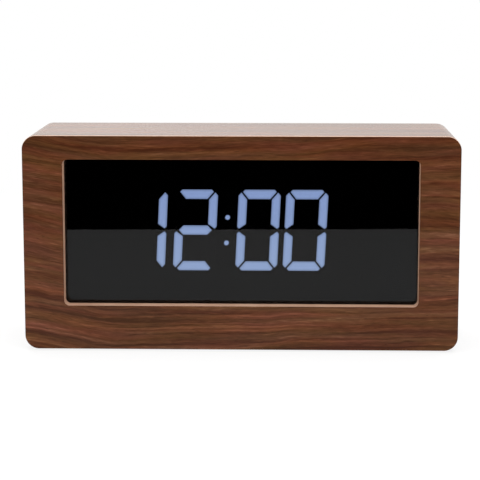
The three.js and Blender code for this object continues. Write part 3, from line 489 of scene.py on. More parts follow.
def turned(profile, sides, axis="Y"):
    """A round solid about X, Y or Z, from pairs of radius and height that start and end on its axis."""
    bm = bmesh.new()
    layer = bm.loops.layers.uv.new("turn")
    run = [0.0]
    for (r0, h0), (r1, h1) in zip(profile, profile[1:]):
        run.append(run[-1] + math.hypot(r1 - r0, h1 - h0))
    rings = []
    for radius, height in profile:
        count = sides if radius > 0 else 1
        angles = [2 * math.pi * i / sides for i in range(count)]
        rings.append([bm.verts.new((radius * math.cos(a), height, radius * math.sin(a))) for a in angles])
    for level, (near, far) in enumerate(zip(rings, rings[1:])):
        for i in range(sides):
            j = (i + 1) % sides
            corners = [near[i % len(near)], near[j % len(near)], far[j % len(far)], far[i % len(far)]]
            whole = [vert for k, vert in enumerate(corners) if vert is not corners[k - 1]]
            face = bm.faces.new(whole)
            for corner in face.loops:
                on_near = corner.vert in (near[i % len(near)], near[j % len(near)])
                at_end = corner.vert in (near[j % len(near)], far[j % len(far)])
                corner[layer].uv = ((i + at_end) / sides, run[level] if on_near else run[level + 1])
    if axis == "X":
        bm.transform(Matrix.Rotation(-math.pi / 2, 4, "Z"))
    if axis == "Z":
        bm.transform(Matrix.Rotation(math.pi / 2, 4, "X"))
    bmesh.ops.recalc_face_normals(bm, faces=bm.faces)
    return bm


def edged(radius, height, edge):
    """Points of a moulded edge for a turned profile."""
    return [(radius - inward * MM, height + up * MM) for inward, up in edge]


def numbered(name, count):
    return [f"{name}_{i}" for i in range(1, count + 1)]


def tree_of(name, **inputs):
    """A geometry node tree, and its named inputs, which have these socket types."""
    tree = bpy.data.node_groups.new(name, "GeometryNodeTree")
    tree.interface.new_socket("Geometry", in_out="OUTPUT", socket_type="NodeSocketGeometry")
    for key, kind in {"Places": "Geometry", **inputs}.items():
        tree.interface.new_socket(key, in_out="INPUT", socket_type="NodeSocket" + kind)
    return tree, tree.nodes.new("NodeGroupInput").outputs


def add_node(tree, kind, settings=None, inputs=None):
    """Adds a geometry node. An input's value is a number, or a node's output that is linked to it."""
    made = tree.nodes.new(kind)
    for key, value in (settings or {}).items():
        setattr(made, key, value)
    for key, value in (inputs or {}).items():
        if isinstance(value, bpy.types.NodeSocket):
            tree.links.new(value, made.inputs[key])
        else:
            made.inputs[key].default_value = value
    return made


def copies_tree():
    """Copies of a master piece on every place, each turned about its own axis by a chance amount."""
    tree, start = tree_of("copies", Master="Object", Turn="Float", Seed="Int", Material="Material")
    master = add_node(tree, "GeometryNodeObjectInfo", {}, {"Object": start["Master"]})
    chance = add_node(tree, "FunctionNodeRandomValue", {"data_type": "FLOAT"}, {"Seed": start["Seed"]})
    values = {0: chance.outputs[1], 1: start["Turn"]}
    turn = add_node(tree, "ShaderNodeMath", {"operation": "MULTIPLY"}, values)
    angles = add_node(tree, "ShaderNodeCombineXYZ", {}, {"Y": turn.outputs[0]})
    copies = repeated(tree, master, start["Places"], "Geometry")
    tree.links.new(angles.outputs[0], copies.inputs["Rotation"])
    finish_tree(tree, copies, start)
    return tree


def repeated(tree, shape, places, output=0):
    """Puts a copy of a node's shape on every place."""
    inputs = {"Points": places, "Instance": shape.outputs[output]}
    return add_node(tree, "GeometryNodeInstanceOnPoints", {}, inputs)


def finish_tree(tree, copies, start):
    """Ends a tree: real copies with their material."""
    real = add_node(tree, "GeometryNodeRealizeInstances", {}, {"Geometry": copies.outputs[0]})
    inputs = {"Geometry": real.outputs[0], "Material": start["Material"]}
    finish = add_node(tree, "GeometryNodeSetMaterial", {}, inputs)
    end = tree.nodes.new("NodeGroupOutput")
    tree.links.new(finish.outputs[0], end.inputs[0])


def grown(name, tree, places, **values):
    """A piece made by a tree on a set of places, with its values given by the names of the inputs."""
    mesh = bpy.data.meshes.new(name)
    mesh.from_pydata(places, [(i, i + 1) for i in range(len(places) - 1)], [])
    piece = shown(name, mesh)
    modifier = piece.modifiers.new(name, "NODES")
    modifier.node_group = tree
    for item in tree.interface.items_tree:
        if item.in_out == "INPUT" and item.name in values:
            modifier[item.identifier] = values[item.name]
    settled(piece)
    piece.data.shade_smooth()
    piece.data.set_sharp_from_angle(angle=math.radians(SHARP_DEGREES))
    return evened(piece)


def copied(name, bm, places, material, turn=0.0, seed=1):
    """One piece that holds a copy of the mesh on every place."""
    master = bpy.data.objects.new(name + "_master", bpy.data.meshes.new(name + "_master"))
    bm.to_mesh(master.data)
    bm.free()
    piece = grown(name, COPIES, places, Master=master, Turn=turn, Seed=seed, Material=material)
    bpy.data.objects.remove(master)
    return piece


COPIES = copies_tree()
foot_names = numbered("foot", 4)
foot_boxes = [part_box(name) for name in foot_names]
foot_radius = (foot_boxes[0][1].x - foot_boxes[0][0].x) / 2
foot_height = foot_boxes[0][1].z - foot_boxes[0][0].z
foot_profile = [
    (0, foot_height),
    (foot_radius, foot_height),
    *edged(foot_radius, 0, SOLE_EDGE),
    (foot_radius - GROOVE_OUT, 0),
    (foot_radius - GROOVE_OUT - GROOVE_SLOPE, GROOVE_DEPTH),
    (foot_radius - GROOVE_IN + GROOVE_SLOPE, GROOVE_DEPTH),
    (foot_radius - GROOVE_IN, 0),
    (0, 0),
]
foot_places = [((low.x + high.x) / 2, (low.y + high.y) / 2, low.z) for low, high in foot_boxes]
feet = copied("rubber_feet", turned(foot_profile, FOOT_SIDES, "Z"), foot_places, rubber())
placed(feet, "case", "foot_rubber", *foot_names)


# Gasket: a die-cut frame of black closed-cell foam tape, 0.8 mm thick. Its sticky side is on the back of the
# front board, and it seals the lens against dust.
def foam():
    """Foam: black, matt and pitted with small bubbles."""
    f = Finish("black_foam")
    cells = f.node("TexVoronoi", {}, {"Vector": f.place(), "Scale": 2200})
    colour = f.mix(cells.rises(0.1, 0.7), (0.006, 0.006, 0.007), (0.017, 0.017, 0.018))
    return f.surface(colour, 0.88 + cells * 0.1, f.bump(cells, 0.12), Specular_IOR_Level=0.2)


nodes["lens_gasket"].active_material = foam()


# Lens: a 2 mm sheet of smoked acrylic with a low-reflection face, cut with rounded corners. Its edge is
# flame-polished, and it is clamped between the gasket and the mask.
LENS_RADIUS = 4 * MM
LENS_ARRIS = 0.2 * MM
MASK_GAP = 0.1 * MM
LENS_IOR = 1.30


def smoked_acrylic():
    """Smoked, polished sheet: dark through its depth, with the faintest dust on its face."""
    f = Finish("smoked_acrylic")
    dust = f.noise(900, 3, 0.7).rises(0.66, 0.8)
    ripple = f.noise(14, 2)
    return f.surface(
        (0.15, 0.152, 0.158),
        0.008 + dust * 0.006,
        f.bump(ripple, 0.01, 0.01),
        Transmission_Weight=1.0,
        IOR=LENS_IOR,
    )


lens_low, lens_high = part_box("lens")
lens_mesh = pierced_plate(
    [rounded_loop(lens_low.xz, lens_high.xz, LENS_RADIUS)],
    edge_profile(lens_low.y, lens_high.y - MASK_GAP, LENS_ARRIS, LENS_ARRIS),
)
placed(made_piece("smoked_lens", lens_mesh, smoked_acrylic()), "case", "smoked_acrylic", "lens")


# Mask: a thin plate of matt black plastic, moulded with a window for every bar of the digits. It lies between
# the lens and the reflector, and hides everything but the bars.
def black_plastic(name, tone, grain, depth, shine=0.45):
    """Moulded black plastic with an even spark-eroded grain, worn smoother in patches and a little dusty."""
    f = Finish(name)
    eroded = f.noise(grain, 3, 0.6)
    wear = f.noise(55, 3).rises(0.45, 0.75)
    dust = f.noise(330, 4, 0.75).rises(0.52, 0.80)
    colour = f.mix(eroded, (tone, tone, tone * 1.06), (tone * 1.9, tone * 1.9, tone * 2.0))
    colour = f.mix(dust * 0.3, colour, (tone * 5, tone * 5, tone * 4.8))
    roughness = 0.50 + eroded * 0.16 - wear * 0.12 + dust * 0.1
    return f.surface(colour, roughness, f.bump(eroded, depth), Specular_IOR_Level=shine)


mask_black = black_plastic("mask_black", tone=0.0025, grain=2400, depth=0.02, shine=0.05)
nodes["display_mask"].active_material = mask_black


# Diffusers: milky plastic bars on a thin base for each digit, whose lands fill the windows of the mask. The
# lit ones are brightest along the middle of each bar; elsewhere the plastic is painted near black, as painted
# shade behind the lens.
DIGIT_HEIGHT = 47.4 * MM
BAR_MARGIN = 1.2 * MM
DOT_MARGIN = 0.55 * MM
MARGIN_LEVEL = 0.62
GLOW_LEVEL = 3.7
PALER_SPAN = (92 * MM, 46 * MM)
JOIN_REACH = 0.001 * MM
SAME_PLACE = 0.01 * MM
LIT_BARS = {
    "hours_tens": "abcdefg",
    "hours_units": "abdeg",
    "colon": "abcdefg",
    "minutes_tens": "abcdef",
    "minutes_units": "abcdef",
}


def lit_diffuser():
    """Milky plastic lit from behind: cool white, brightest in the middle of each bar, paler low down. Its
    base colour is grey on the lit lands and painted near black elsewhere, as painted shade.
    """
    f = Finish("lit_diffuser")
    low_down = f.parts(f.place())[2].rises(*PALER_SPAN)
    glow = f.node("Attribute", {"attribute_name": "glow"}, {}, 2)
    milk = f.noise(420, 3, 0.6)
    colour = f.mix(low_down, (0.42, 0.57, 0.98), (0.46, 0.62, 0.98))
    level = glow * (0.94 + milk * 0.12)
    light = f.mix(1.0, colour, f.vector(level, level, level), "MULTIPLY")
    # Base colour: grey on the lit lands, near black elsewhere; the near black is painted shade on the pale
    # milky plastic.
    body = f.mix(glow.rises(0.0, 0.4), (0.012, 0.012, 0.013), (0.30, 0.32, 0.35))
    fixed = {"Emission_Strength": GLOW_LEVEL, "Emission_Color": light, "Specular_IOR_Level": 0.1}
    return f.surface(body, 0.4 + milk * 0.1, None, **fixed)


def middle(node):
    low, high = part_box(node)
    return (low + high) / 2


def bar_letter(place):
    """The usual letter of a bar, from its place in the digit: a at the top, then clockwise, g across."""
    if abs(place.z) > 0.35 * DIGIT_HEIGHT:
        return "a" if place.z > 0 else "d"
    if abs(place.z) < 0.1 * DIGIT_HEIGHT:
        return "g"
    if place.x > 0:
        return "b" if place.z > 0 else "c"
    return "f" if place.z > 0 else "e"


def merged_copy(node):
    """A CAD solid's mesh with its loose corners joined and its flats made whole."""
    solid = nodes[node].data
    bm = bmesh.new()
    corners = [bm.verts.new(vert.co) for vert in solid.vertices]
    for triangle in solid.polygons:
        bm.faces.new([corners[i] for i in triangle.vertices])
    bmesh.ops.remove_doubles(bm, verts=bm.verts, dist=JOIN_REACH)
    bmesh.ops.dissolve_limit(bm, angle_limit=math.radians(1), verts=bm.verts, edges=bm.edges)
    bm.normal_update()
    return bm


def glowing(digit):
    """A diffuser whose lit lands glow, less so towards their margins."""
    node = "diffuser_" + digit
    bm = merged_copy(node)
    glow = bm.verts.layers.float.new("glow")
    front = min(vert.co.y for vert in bm.verts) + SAME_PLACE
    lands = [face for face in bm.faces if face.normal.y < -0.99 and face.calc_center_median().y < front]
    centre = middle(node)
    lands = [land for land in lands if bar_letter(land.calc_center_median() - centre) in LIT_BARS[digit]]
    for land in lands:
        for vert in land.verts:
            vert[glow] = MARGIN_LEVEL
    margin = DOT_MARGIN if digit == "colon" else BAR_MARGIN
    bmesh.ops.inset_individual(bm, faces=lands, thickness=margin, use_even_offset=True)
    for land in lands:
        for vert in land.verts:
            vert[glow] = 1.0
    return bm


lit = lit_diffuser()
for digit in LIT_BARS:
    placed(made_piece(f"lit_{digit}", glowing(digit), lit), "case", "lit_diffuser", f"diffuser_{digit}")


# Reflector: a white moulded housing with a light cell behind each bar, pegs for the display board, and ears
# that are screwed to the front board.
def white_plastic():
    """Moulded white plastic, slightly warm, with faint flow clouds."""
    f = Finish("white_plastic")
    fine = f.noise(1400, 3, 0.6)
    flow = f.noise(70, 3)
    colour = f.mix(flow, (0.56, 0.56, 0.53), (0.66, 0.66, 0.63))
    return f.surface(colour, 0.42 + fine * 0.12, f.bump(fine, 0.03, 0.6))


milky_white = white_plastic()
nodes["display_reflector"].active_material = milky_white


# Display board: a green glass-cloth board with copper tracks and tinned pads, pushed onto the pegs of the
# reflector. A pale light chip stands under each bar.
LIGHT_CHIP_FACE = -19.23 * MM
TRACK_PITCH = 1.3 * MM
TRACK_RUN = 13 * MM
TRACK_JOG = 5 * MM


def tracks(along, across):
    """1 on parallel copper tracks that jog sideways at 45 degrees now and then, else 0."""
    jog = along.math("PINGPONG", TRACK_RUN).math("MINIMUM", TRACK_JOG)
    half = TRACK_PITCH / 2
    return (across + jog).math("PINGPONG", half).rises(0.62 * half, 0.72 * half)


def solder_mask(name, chip_face):
    """Green lacquer over copper tracks, tinned pads and the weave of the cloth, and pale light chips."""
    f = Finish(name)
    x, y, z = f.parts(f.place())
    flat = f.vector(x, z)
    cloth = f.node("TexBrick", {}, {"Vector": flat, "Scale": 900, "Mortar Size": 0.03}, 1)
    patches = f.parts(f.node("TexVoronoi", {"distance": "CHEBYCHEV"}, {"Vector": flat, "Scale": 48}, 1))
    level = tracks(x, z) * patches[0].rises(0.50, 0.51)
    upright = tracks(z, x) * patches[1].rises(0.62, 0.63)
    lines = level.math("MAXIMUM", upright)
    pads = 1 - f.node("TexVoronoi", {}, {"Vector": flat, "Scale": 190}).rises(0.12, 0.16)
    chips = 1 - y.rises(chip_face - SAME_PLACE, chip_face)
    colour = f.mix(lines, (0.010, 0.075, 0.028), (0.022, 0.135, 0.052))
    colour = f.mix(pads, colour, (0.62, 0.60, 0.55))
    colour = f.mix(chips, colour, (0.72, 0.62, 0.22))
    metal = pads * 0.9 * (1 - chips)
    height = lines * 0.6 + pads * 0.8 + cloth * 0.15
    return f.surface(colour, 0.32 - pads * 0.06, f.bump(height, 0.05), Metallic=metal, Coat_Weight=0.3)


nodes["display_board"].active_material = solder_mask("display_board_green", LIGHT_CHIP_FACE)


# Display screws: four black pan-head screws with a cross recess, through the ears of the reflector into the
# front board.
SCREW_SIDES = 40
SCREW_HEAD = 3 * MM
SCREW_HEAD_HEIGHT = 2 * MM
SCREW_SHANK = 1.5 * MM
SCREW_POINT = 2 * MM
SCREW_HEAD_EDGE = 0.1 * MM
HEAD_FOOT_SHARE = 0.94
DOME_SHARE = 0.55
DOME_STEPS = 6
CROSS_WIDTH = 0.9 * MM
CROSS_REACH_SHARE = 0.56
CROSS_DEPTH_SHARE = 0.55
THREAD_PITCH = 1.0 * MM
THREAD_DEPTH = 0.28 * MM
THREAD_WIDTH = 0.44 * MM
THREAD_ROOT = 0.1 * MM
THREAD_STEPS = 14
PLAIN_TIP = 2.2 * MM
PLAIN_NECK = 0.4 * MM


def blackened_steel():
    """Blackened steel: a dark oxide skin, worn to bare metal on the high edges, with fine turning marks."""
    f = Finish("blackened_steel")
    turning = f.noise(3200, 2)
    patches = f.noise(420, 3, 0.65).rises(0.55, 0.8)
    edge = f.node("NewGeometry", {}, {}, 7).rises(0.52, 0.62)
    colour = f.mix(patches * 0.5 + edge * 0.5, (0.022, 0.022, 0.024), (0.26, 0.26, 0.27))
    return f.surface(colour, 0.34 + turning * 0.16, f.bump(turning, 0.02), Metallic=0.85)


def add_thread(bm, radius, start, end):
    """Winds a sharp ridge round the shank of a screw."""
    count = int((end - start) / THREAD_PITCH * THREAD_STEPS)
    root = radius - THREAD_ROOT
    half = THREAD_WIDTH / 2
    rings = []
    for i in range(count + 1):
        angle = 2 * math.pi * i / THREAD_STEPS
        height = start + THREAD_PITCH * i / THREAD_STEPS
        fade = min(i, count - i, THREAD_STEPS) / THREAD_STEPS
        sections = ((root, -half), (radius + THREAD_DEPTH * fade, 0), (root, half))
        places = [(r * math.cos(angle), height + rise, r * math.sin(angle)) for r, rise in sections]
        rings.append([bm.verts.new(place) for place in places])
    faces = []
    for a, b in zip(rings, rings[1:]):
        faces += [bm.faces.new((a[k], a[k - 2], b[k - 2], b[k])) for k in range(3)]
    faces += [bm.faces.new(rings[0]), bm.faces.new(rings[-1])]
    bmesh.ops.recalc_face_normals(bm, faces=faces)


def screw_mesh(head, height, shank, length):
    """A screw along Y with its head at +Y: a domed head, a cross recess and a threaded, pointed shank."""
    angles = [math.pi / 2 * i / DOME_STEPS for i in range(DOME_STEPS)]
    dome = [(head * math.cos(a), height * (1 - DOME_SHARE + DOME_SHARE * math.sin(a))) for a in angles]
    foot = [(head * HEAD_FOOT_SHARE, 0), (head, SCREW_HEAD_EDGE)]
    point = [(0, -length), (shank, SCREW_POINT - length), (shank, 0)]
    blank = turned([*point, *foot, *dome, (0, height)], SCREW_SIDES)
    cross = bmesh.new()
    reach = head * CROSS_REACH_SHARE
    for wide, tall in ((reach, CROSS_WIDTH / 2), (CROSS_WIDTH / 2, reach)):
        add_block(cross, (-wide, height * (1 - CROSS_DEPTH_SHARE), -tall), (wide, height + MM, tall))
    body, cutter = (shown("blank", bpy.data.meshes.new("blank")) for _ in range(2))
    for item, bm in ((body, blank), (cutter, cross)):
        bm.to_mesh(item.data)
        bm.free()
    cut = body.modifiers.new("cross", "BOOLEAN")
    cut.object = cutter
    cut.solver = "EXACT"
    cut.use_self = True
    settled(body)
    result = bmesh.new()
    result.from_mesh(body.data)
    add_thread(result, shank, PLAIN_TIP - length, -PLAIN_NECK)
    bpy.data.objects.remove(body)
    bpy.data.objects.remove(cutter)
    return result


def screws(name, node_names, head, height, shank, seed, way=1):
    """A group of like screws, as long as their solids, with heads to the back, or to the front by way -1."""
    boxes = [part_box(node) for node in node_names]
    bm = screw_mesh(head, height, shank, boxes[0][1].y - boxes[0][0].y - height)
    if way < 0:
        bm.transform(Matrix.Rotation(math.pi, 4, "Z"))
    seats = [high.y - height if way > 0 else low.y + height for low, high in boxes]
    places = [((low.x + high.x) / 2, seat, (low.z + high.z) / 2) for seat, (low, high) in zip(seats, boxes)]
    piece = copied(name, bm, places, steel, math.pi, seed)
    placed(piece, "case", "blackened_steel", *node_names)


steel = blackened_steel()
screw_sizes = (SCREW_HEAD, SCREW_HEAD_HEIGHT, SCREW_SHANK)
screws("display_screws", numbered("display_screw", 4), *screw_sizes, seed=2)


# Ribbon cable and connectors: a flat grey cable of fourteen fused cores bends from the display board to the
# clock board, pressed into a white moulded connector at each end.
CORE_COUNT = 14
WIRE_SIDES = 14
RIBBON_STEPS = 24
ROUNDED_DEGREES = 50
EDGE_CORE = 1.0 * MM
EDGE_BLUR = 0.2 * MM
CONNECTOR_ARRIS = 0.35 * MM


def swept(tree, curve, sides, radius):
    """A round bar along a node's curve, closed at its ends."""
    ring = add_node(tree, "GeometryNodeCurvePrimitiveCircle", {}, {"Resolution": sides, "Radius": radius})
    inputs = {"Curve": curve.outputs[0], "Profile Curve": ring.outputs[0], "Fill Caps": True}
    return add_node(tree, "GeometryNodeCurveToMesh", {}, inputs)


def in_a_row(tree, shape, start):
    """Repeats a node's shape by the tree's count and step."""
    places = {"Count": start["Count"], "Offset": start["Step"]}
    row = add_node(tree, "GeometryNodeMeshLine", {"mode": "OFFSET"}, places)
    return repeated(tree, shape, row.outputs[0])


def strands_tree():
    """A wire along the drawn route, repeated sideways."""
    tree, start = tree_of("strands", Count="Int", Step="Vector", Radius="Float", Material="Material")
    route = add_node(tree, "GeometryNodeMeshToCurve", {}, {"Mesh": start["Places"]})
    solid = swept(tree, route, WIRE_SIDES, start["Radius"])
    finish_tree(tree, in_a_row(tree, solid, start), start)
    return tree


def ribbon():
    """Grey plastic over the cores, a darker one at the edge, with a slight sheen and rub marks."""
    f = Finish("ribbon_grey")
    edge_end = ribbon_low.x + EDGE_CORE
    edge = f.parts(f.place())[0].rises(edge_end, edge_end + EDGE_BLUR)
    rubbed = f.noise(900, 3, 0.6)
    colour = f.mix(edge, (0.045, 0.05, 0.06), (0.25, 0.26, 0.27))
    colour = f.mix(rubbed * 0.3, colour, (0.36, 0.37, 0.38))
    return f.surface(colour, 0.42 + rubbed * 0.2, f.bump(rubbed, 0.03, 0.5))


def softened(name, node, width, material, body, slot, segments=2):
    """Puts a piece in the place of a solid: a copy of it with its outer edges rounded."""
    bm = merged_copy(node)
    sharp = math.radians(SHARP_DEGREES)
    edges = [edge for edge in bm.edges if edge.is_convex and edge.calc_face_angle() > sharp]
    rounding = {"offset": width, "segments": segments, "profile": 0.5, "clamp_overlap": True}
    bmesh.ops.bevel(bm, geom=edges, affect="EDGES", **rounding)
    bm.normal_update()
    placed(made_piece(name, bm, material, sharp_degrees=ROUNDED_DEGREES), body, slot, node)


STRANDS = strands_tree()
ribbon_low, ribbon_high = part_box("ribbon_cable")
display_plug = middle("display_connector")
board_plug = middle("board_connector")
core_radius = (ribbon_high.x - ribbon_low.x) / CORE_COUNT / 2
ribbon_route = []
for i in range(RIBBON_STEPS + 1):
    share = i / RIBBON_STEPS
    eased = share**3 * (share * (6 * share - 15) + 10)
    depth = ribbon_low.y + (ribbon_high.y - ribbon_low.y) * share
    rise = display_plug.z + (board_plug.z - display_plug.z) * eased
    ribbon_route.append((ribbon_low.x + core_radius, depth, rise))
cores = {"Count": CORE_COUNT, "Step": (2 * core_radius, 0, 0), "Radius": core_radius}
cable = grown("ribbon_cores", STRANDS, ribbon_route, **cores, Material=ribbon())
placed(cable, "case", "ribbon_grey", "ribbon_cable")
for node in ("display_connector", "board_connector"):
    softened(node + "_housing", node, CONNECTOR_ARRIS, milky_white, "case", "white_plastic")


# Clock board: a green circuit board on the four posts of the back cover, with rows of small black
# resistors that have tinned ends.
RESISTOR_COUNT = 7
RESISTOR_PITCH = 3.4 * MM
RESISTOR_HEIGHT = 0.6 * MM
RESISTOR_WIDTH = 1.2 * MM
RESISTOR_END = 1.0 * MM
RESISTOR_BODY_END = 0.7 * MM
RESISTOR_ROWS = (-14 * MM, -20 * MM)


def plated_metal():
    """Tin or nickel plate: bright, softly clouded, with fine rub marks."""
    f = Finish("plated_metal")
    x, y, z = f.parts(f.place())
    rubbed = f.noise(700, 3, 0.6, f.vector(x, y * 6.0, z))
    cloud = f.noise(130, 3)
    colour = f.mix(cloud, (0.62, 0.62, 0.61), (0.80, 0.79, 0.77))
    return f.surface(colour, 0.2 + rubbed * 0.2, f.bump(rubbed, 0.02, 0.5), Metallic=1.0)


board_green = solder_mask("clock_board_green", 0.0)
board_low_corner, board_high_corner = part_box("clock_board")
board_front = board_low_corner.y
board_back = board_high_corner.y
nodes["clock_board"].active_material = board_green
epoxy = black_plastic("component_black", tone=0.02, grain=2600, depth=0.03)
plate_metal = plated_metal()
chip_middle = middle("clock_chip")
resistor_places = [
    (chip_middle.x + (i - (RESISTOR_COUNT - 1) / 2) * RESISTOR_PITCH, board_front, chip_middle.z + drop)
    for drop in RESISTOR_ROWS
    for i in range(RESISTOR_COUNT)
]
resistor_body = [(-RESISTOR_BODY_END, RESISTOR_BODY_END)]
resistor_ends = [(-RESISTOR_END, -RESISTOR_BODY_END), (RESISTOR_BODY_END, RESISTOR_END)]
for name, spans, slot, material in (
    ("resistor_bodies", resistor_body, "component_black", epoxy),
    ("resistor_ends", resistor_ends, "plated_metal", plate_metal),
):
    blocks = bmesh.new()
    for left, right in spans:
        add_block(blocks, (left, -RESISTOR_HEIGHT, -RESISTOR_WIDTH / 2), (right, 0, RESISTOR_WIDTH / 2))
    placed(copied(name, blocks, resistor_places, material), "case", slot)


# Board screws: two short pan-head screws of blackened steel. They hold the clock board on the posts of the
# back cover, with their heads on the front face of the board.
BOARD_SCREW_HEAD = 2.4 * MM
BOARD_SCREW_HEAD_HEIGHT = 1.6 * MM
BOARD_SCREW_SHANK = 1.1 * MM

board_screw_sizes = (BOARD_SCREW_HEAD, BOARD_SCREW_HEAD_HEIGHT, BOARD_SCREW_SHANK)
screws("board_screws", numbered("board_screw", 2), *board_screw_sizes, seed=3, way=-1)


# Clock chip: a black epoxy body, soldered to the front of the clock board by ten tinned legs on each side.
# The legs are bent out and down from the body.
LEG_COUNT = 10
LEG_WIDTH = 0.5 * MM
LEG_REACH = 1.2 * MM
CHIP_CORNER = 0.4 * MM
CHIP_CORNER_STEPS = 4
CHIP_ARRIS = 0.3 * MM
CHIP_STANDOFF = 0.1 * MM
LEG_TOP = [(-0.1, -1.35), (0.45, -1.35), (0.65, -0.45), (1.2, -0.3)]
LEG_UNDERSIDE = [(1.2, -0.05), (0.5, -0.15), (0.3, -1.1), (-0.1, -1.1)]


def leg_mesh(way):
    """A bent leg that points away from the chip along Z, from an outline in millimetres."""
    bm = bmesh.new()
    outline = [*LEG_TOP, *LEG_UNDERSIDE]
    sides = [
        [bm.verts.new((x, depth * MM, way * out * MM)) for out, depth in outline]
        for x in (-LEG_WIDTH / 2, LEG_WIDTH / 2)
    ]
    count = len(outline)
    for side in sides:
        bm.faces.new(side)
    for i in range(count):
        bm.faces.new((sides[0][i - 1], sides[0][i], sides[1][i], sides[1][i - 1]))
    bmesh.ops.recalc_face_normals(bm, faces=bm.faces)
    return bm


chip_low, chip_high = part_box("clock_chip")
leg_pitch = (chip_high.x - chip_low.x) / LEG_COUNT
body_low = (chip_low.x, chip_low.z + LEG_REACH)
body_high = (chip_high.x, chip_high.z - LEG_REACH)
rounded_body = rounded_loop(body_low, body_high, CHIP_CORNER, CHIP_CORNER_STEPS)
body_profile = edge_profile(chip_low.y, chip_high.y - CHIP_STANDOFF, CHIP_ARRIS, CHIP_ARRIS)
chip_body = made_piece("chip_body", pierced_plate([rounded_body], body_profile), epoxy)
placed(chip_body, "case", "component_black", "clock_chip")
for way, edge, name in ((1, body_high[1], "upper"), (-1, body_low[1], "lower")):
    leg_places = [(chip_low.x + (i + 0.5) * leg_pitch, board_front, edge) for i in range(LEG_COUNT)]
    placed(copied(f"chip_legs_{name}", leg_mesh(way), leg_places, plate_metal), "case", "plated_metal")


# Crystal: a low can with round ends, drawn from plated sheet. It is soldered to the clock board above the
# chip, whose time it keeps.
CRYSTAL_ROUND = 0.5 * MM

softened("crystal_can", "crystal", CRYSTAL_ROUND, plate_metal, "case", "plated_metal", segments=3)


# Capacitor: an aluminium can in a shrunk blue sleeve with a pale stripe, crimped near its foot. It stands on
# the front of the clock board, beside the chip.
CAPACITOR_SIDES = 48
CAPACITOR_RADIUS = 4 * MM
CAPACITOR_TOP = 3.3 * MM
CAPACITOR_TOP_SINK = 0.12 * MM
CAPACITOR_TOP_LIP = 0.2 * MM
CAPACITOR_SHOULDER = [(0.3, 0), (0, 0.35)]
CAPACITOR_CRIMP = [(0, -2.0), (0.35, -1.6), (0, -1.2)]
CAPACITOR_BLUE = (0.012, 0.028, 0.10)
CAPACITOR_SCUFF = (0.10, 0.13, 0.24)
STRIPE_SHARE = 0.14
STRIPE_BLUR_SHARE = 0.004


def sleeve_plastic(name, colour, pale, stripe=0.0):
    """Thin coloured plastic over a can or a wire, with scuffs, and a pale stripe for a share of its round."""
    f = Finish(name)
    scuffs = f.noise(500, 4, 0.7).rises(0.55, 0.85)
    tone = f.mix(scuffs * 0.4, colour, pale)
    if stripe:
        around = f.parts(f.node("UVMap", {"uv_map": "turn"}))[0]
        tone = f.mix(1 - around.rises(stripe, stripe + STRIPE_BLUR_SHARE), tone, (0.55, 0.58, 0.62))
    return f.surface(tone, 0.36 + scuffs * 0.25, f.bump(scuffs, 0.03, 0.4))


def stood_at(node, bm):
    """Moves a turned mesh from the origin to the front end of a solid's axis."""
    low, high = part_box(node)
    bm.transform(Matrix.Translation(((low.x + high.x) / 2, low.y, (low.z + high.z) / 2)))
    return bm


can_low, can_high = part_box("capacitor")
can_height = can_high.y - can_low.y
can_profile = [
    (0, CAPACITOR_TOP_SINK),
    (CAPACITOR_TOP - CAPACITOR_TOP_LIP, CAPACITOR_TOP_SINK),
    (CAPACITOR_TOP, 0),
    *edged(CAPACITOR_RADIUS, 0, CAPACITOR_SHOULDER),
    *edged(CAPACITOR_RADIUS, can_height, CAPACITOR_CRIMP),
    (CAPACITOR_RADIUS, can_height),
    (0, can_height),
]
can_mesh = turned(can_profile, CAPACITOR_SIDES)
for face in can_mesh.faces:
    bare_top = max(math.hypot(vert.co.x, vert.co.z) for vert in face.verts) < CAPACITOR_TOP + SAME_PLACE
    face.material_index = 1 if bare_top and face.calc_center_median().y < MM else 0
stood_at("capacitor", can_mesh)
blue_sleeve = sleeve_plastic("capacitor_sleeve", CAPACITOR_BLUE, CAPACITOR_SCUFF, STRIPE_SHARE)
can = made_piece("capacitor_can", can_mesh, blue_sleeve, plate_metal)
placed(can, "case", "capacitor_sleeve", "capacitor")


# Buzzer: a round black moulding with a sound hole in the middle of its top. It is soldered to the back of the
# clock board, behind the sound holes of the cover.
BUZZER_SIDES = 64
BUZZER_HOLE = 1.0 * MM
BUZZER_HOLE_DEPTH = 1.0 * MM
BUZZER_EDGE = [(0, -0.6), (0.2, -0.2), (0.6, 0)]
BUZZER_HOLE_EDGE = [(-0.2, 0), (0, -0.2)]

buzzer_low, buzzer_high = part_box("buzzer")
buzzer_radius = (buzzer_high.x - buzzer_low.x) / 2
buzzer_height = buzzer_high.y - buzzer_low.y
buzzer_profile = [
    (0, 0),
    (buzzer_radius, 0),
    *edged(buzzer_radius, buzzer_height, BUZZER_EDGE),
    *edged(BUZZER_HOLE, buzzer_height, BUZZER_HOLE_EDGE),
    (BUZZER_HOLE, buzzer_height - BUZZER_HOLE_DEPTH),
    (0, buzzer_height - BUZZER_HOLE_DEPTH),
]
buzzer_mesh = stood_at("buzzer", turned(buzzer_profile, BUZZER_SIDES))
placed(made_piece("buzzer_can", buzzer_mesh, epoxy), "case", "component_black", "buzzer")


# Key switches: three square black snap switches behind the keys, each with a round white plunger that the
# key presses in.
KEYS = ["set", "up", "down"]
SWITCH_ARRIS = 0.2 * MM
PLUNGER_SIDES = 36
PLUNGER_EDGE = [(0, -0.3), (0.1, -0.1), (0.3, 0)]

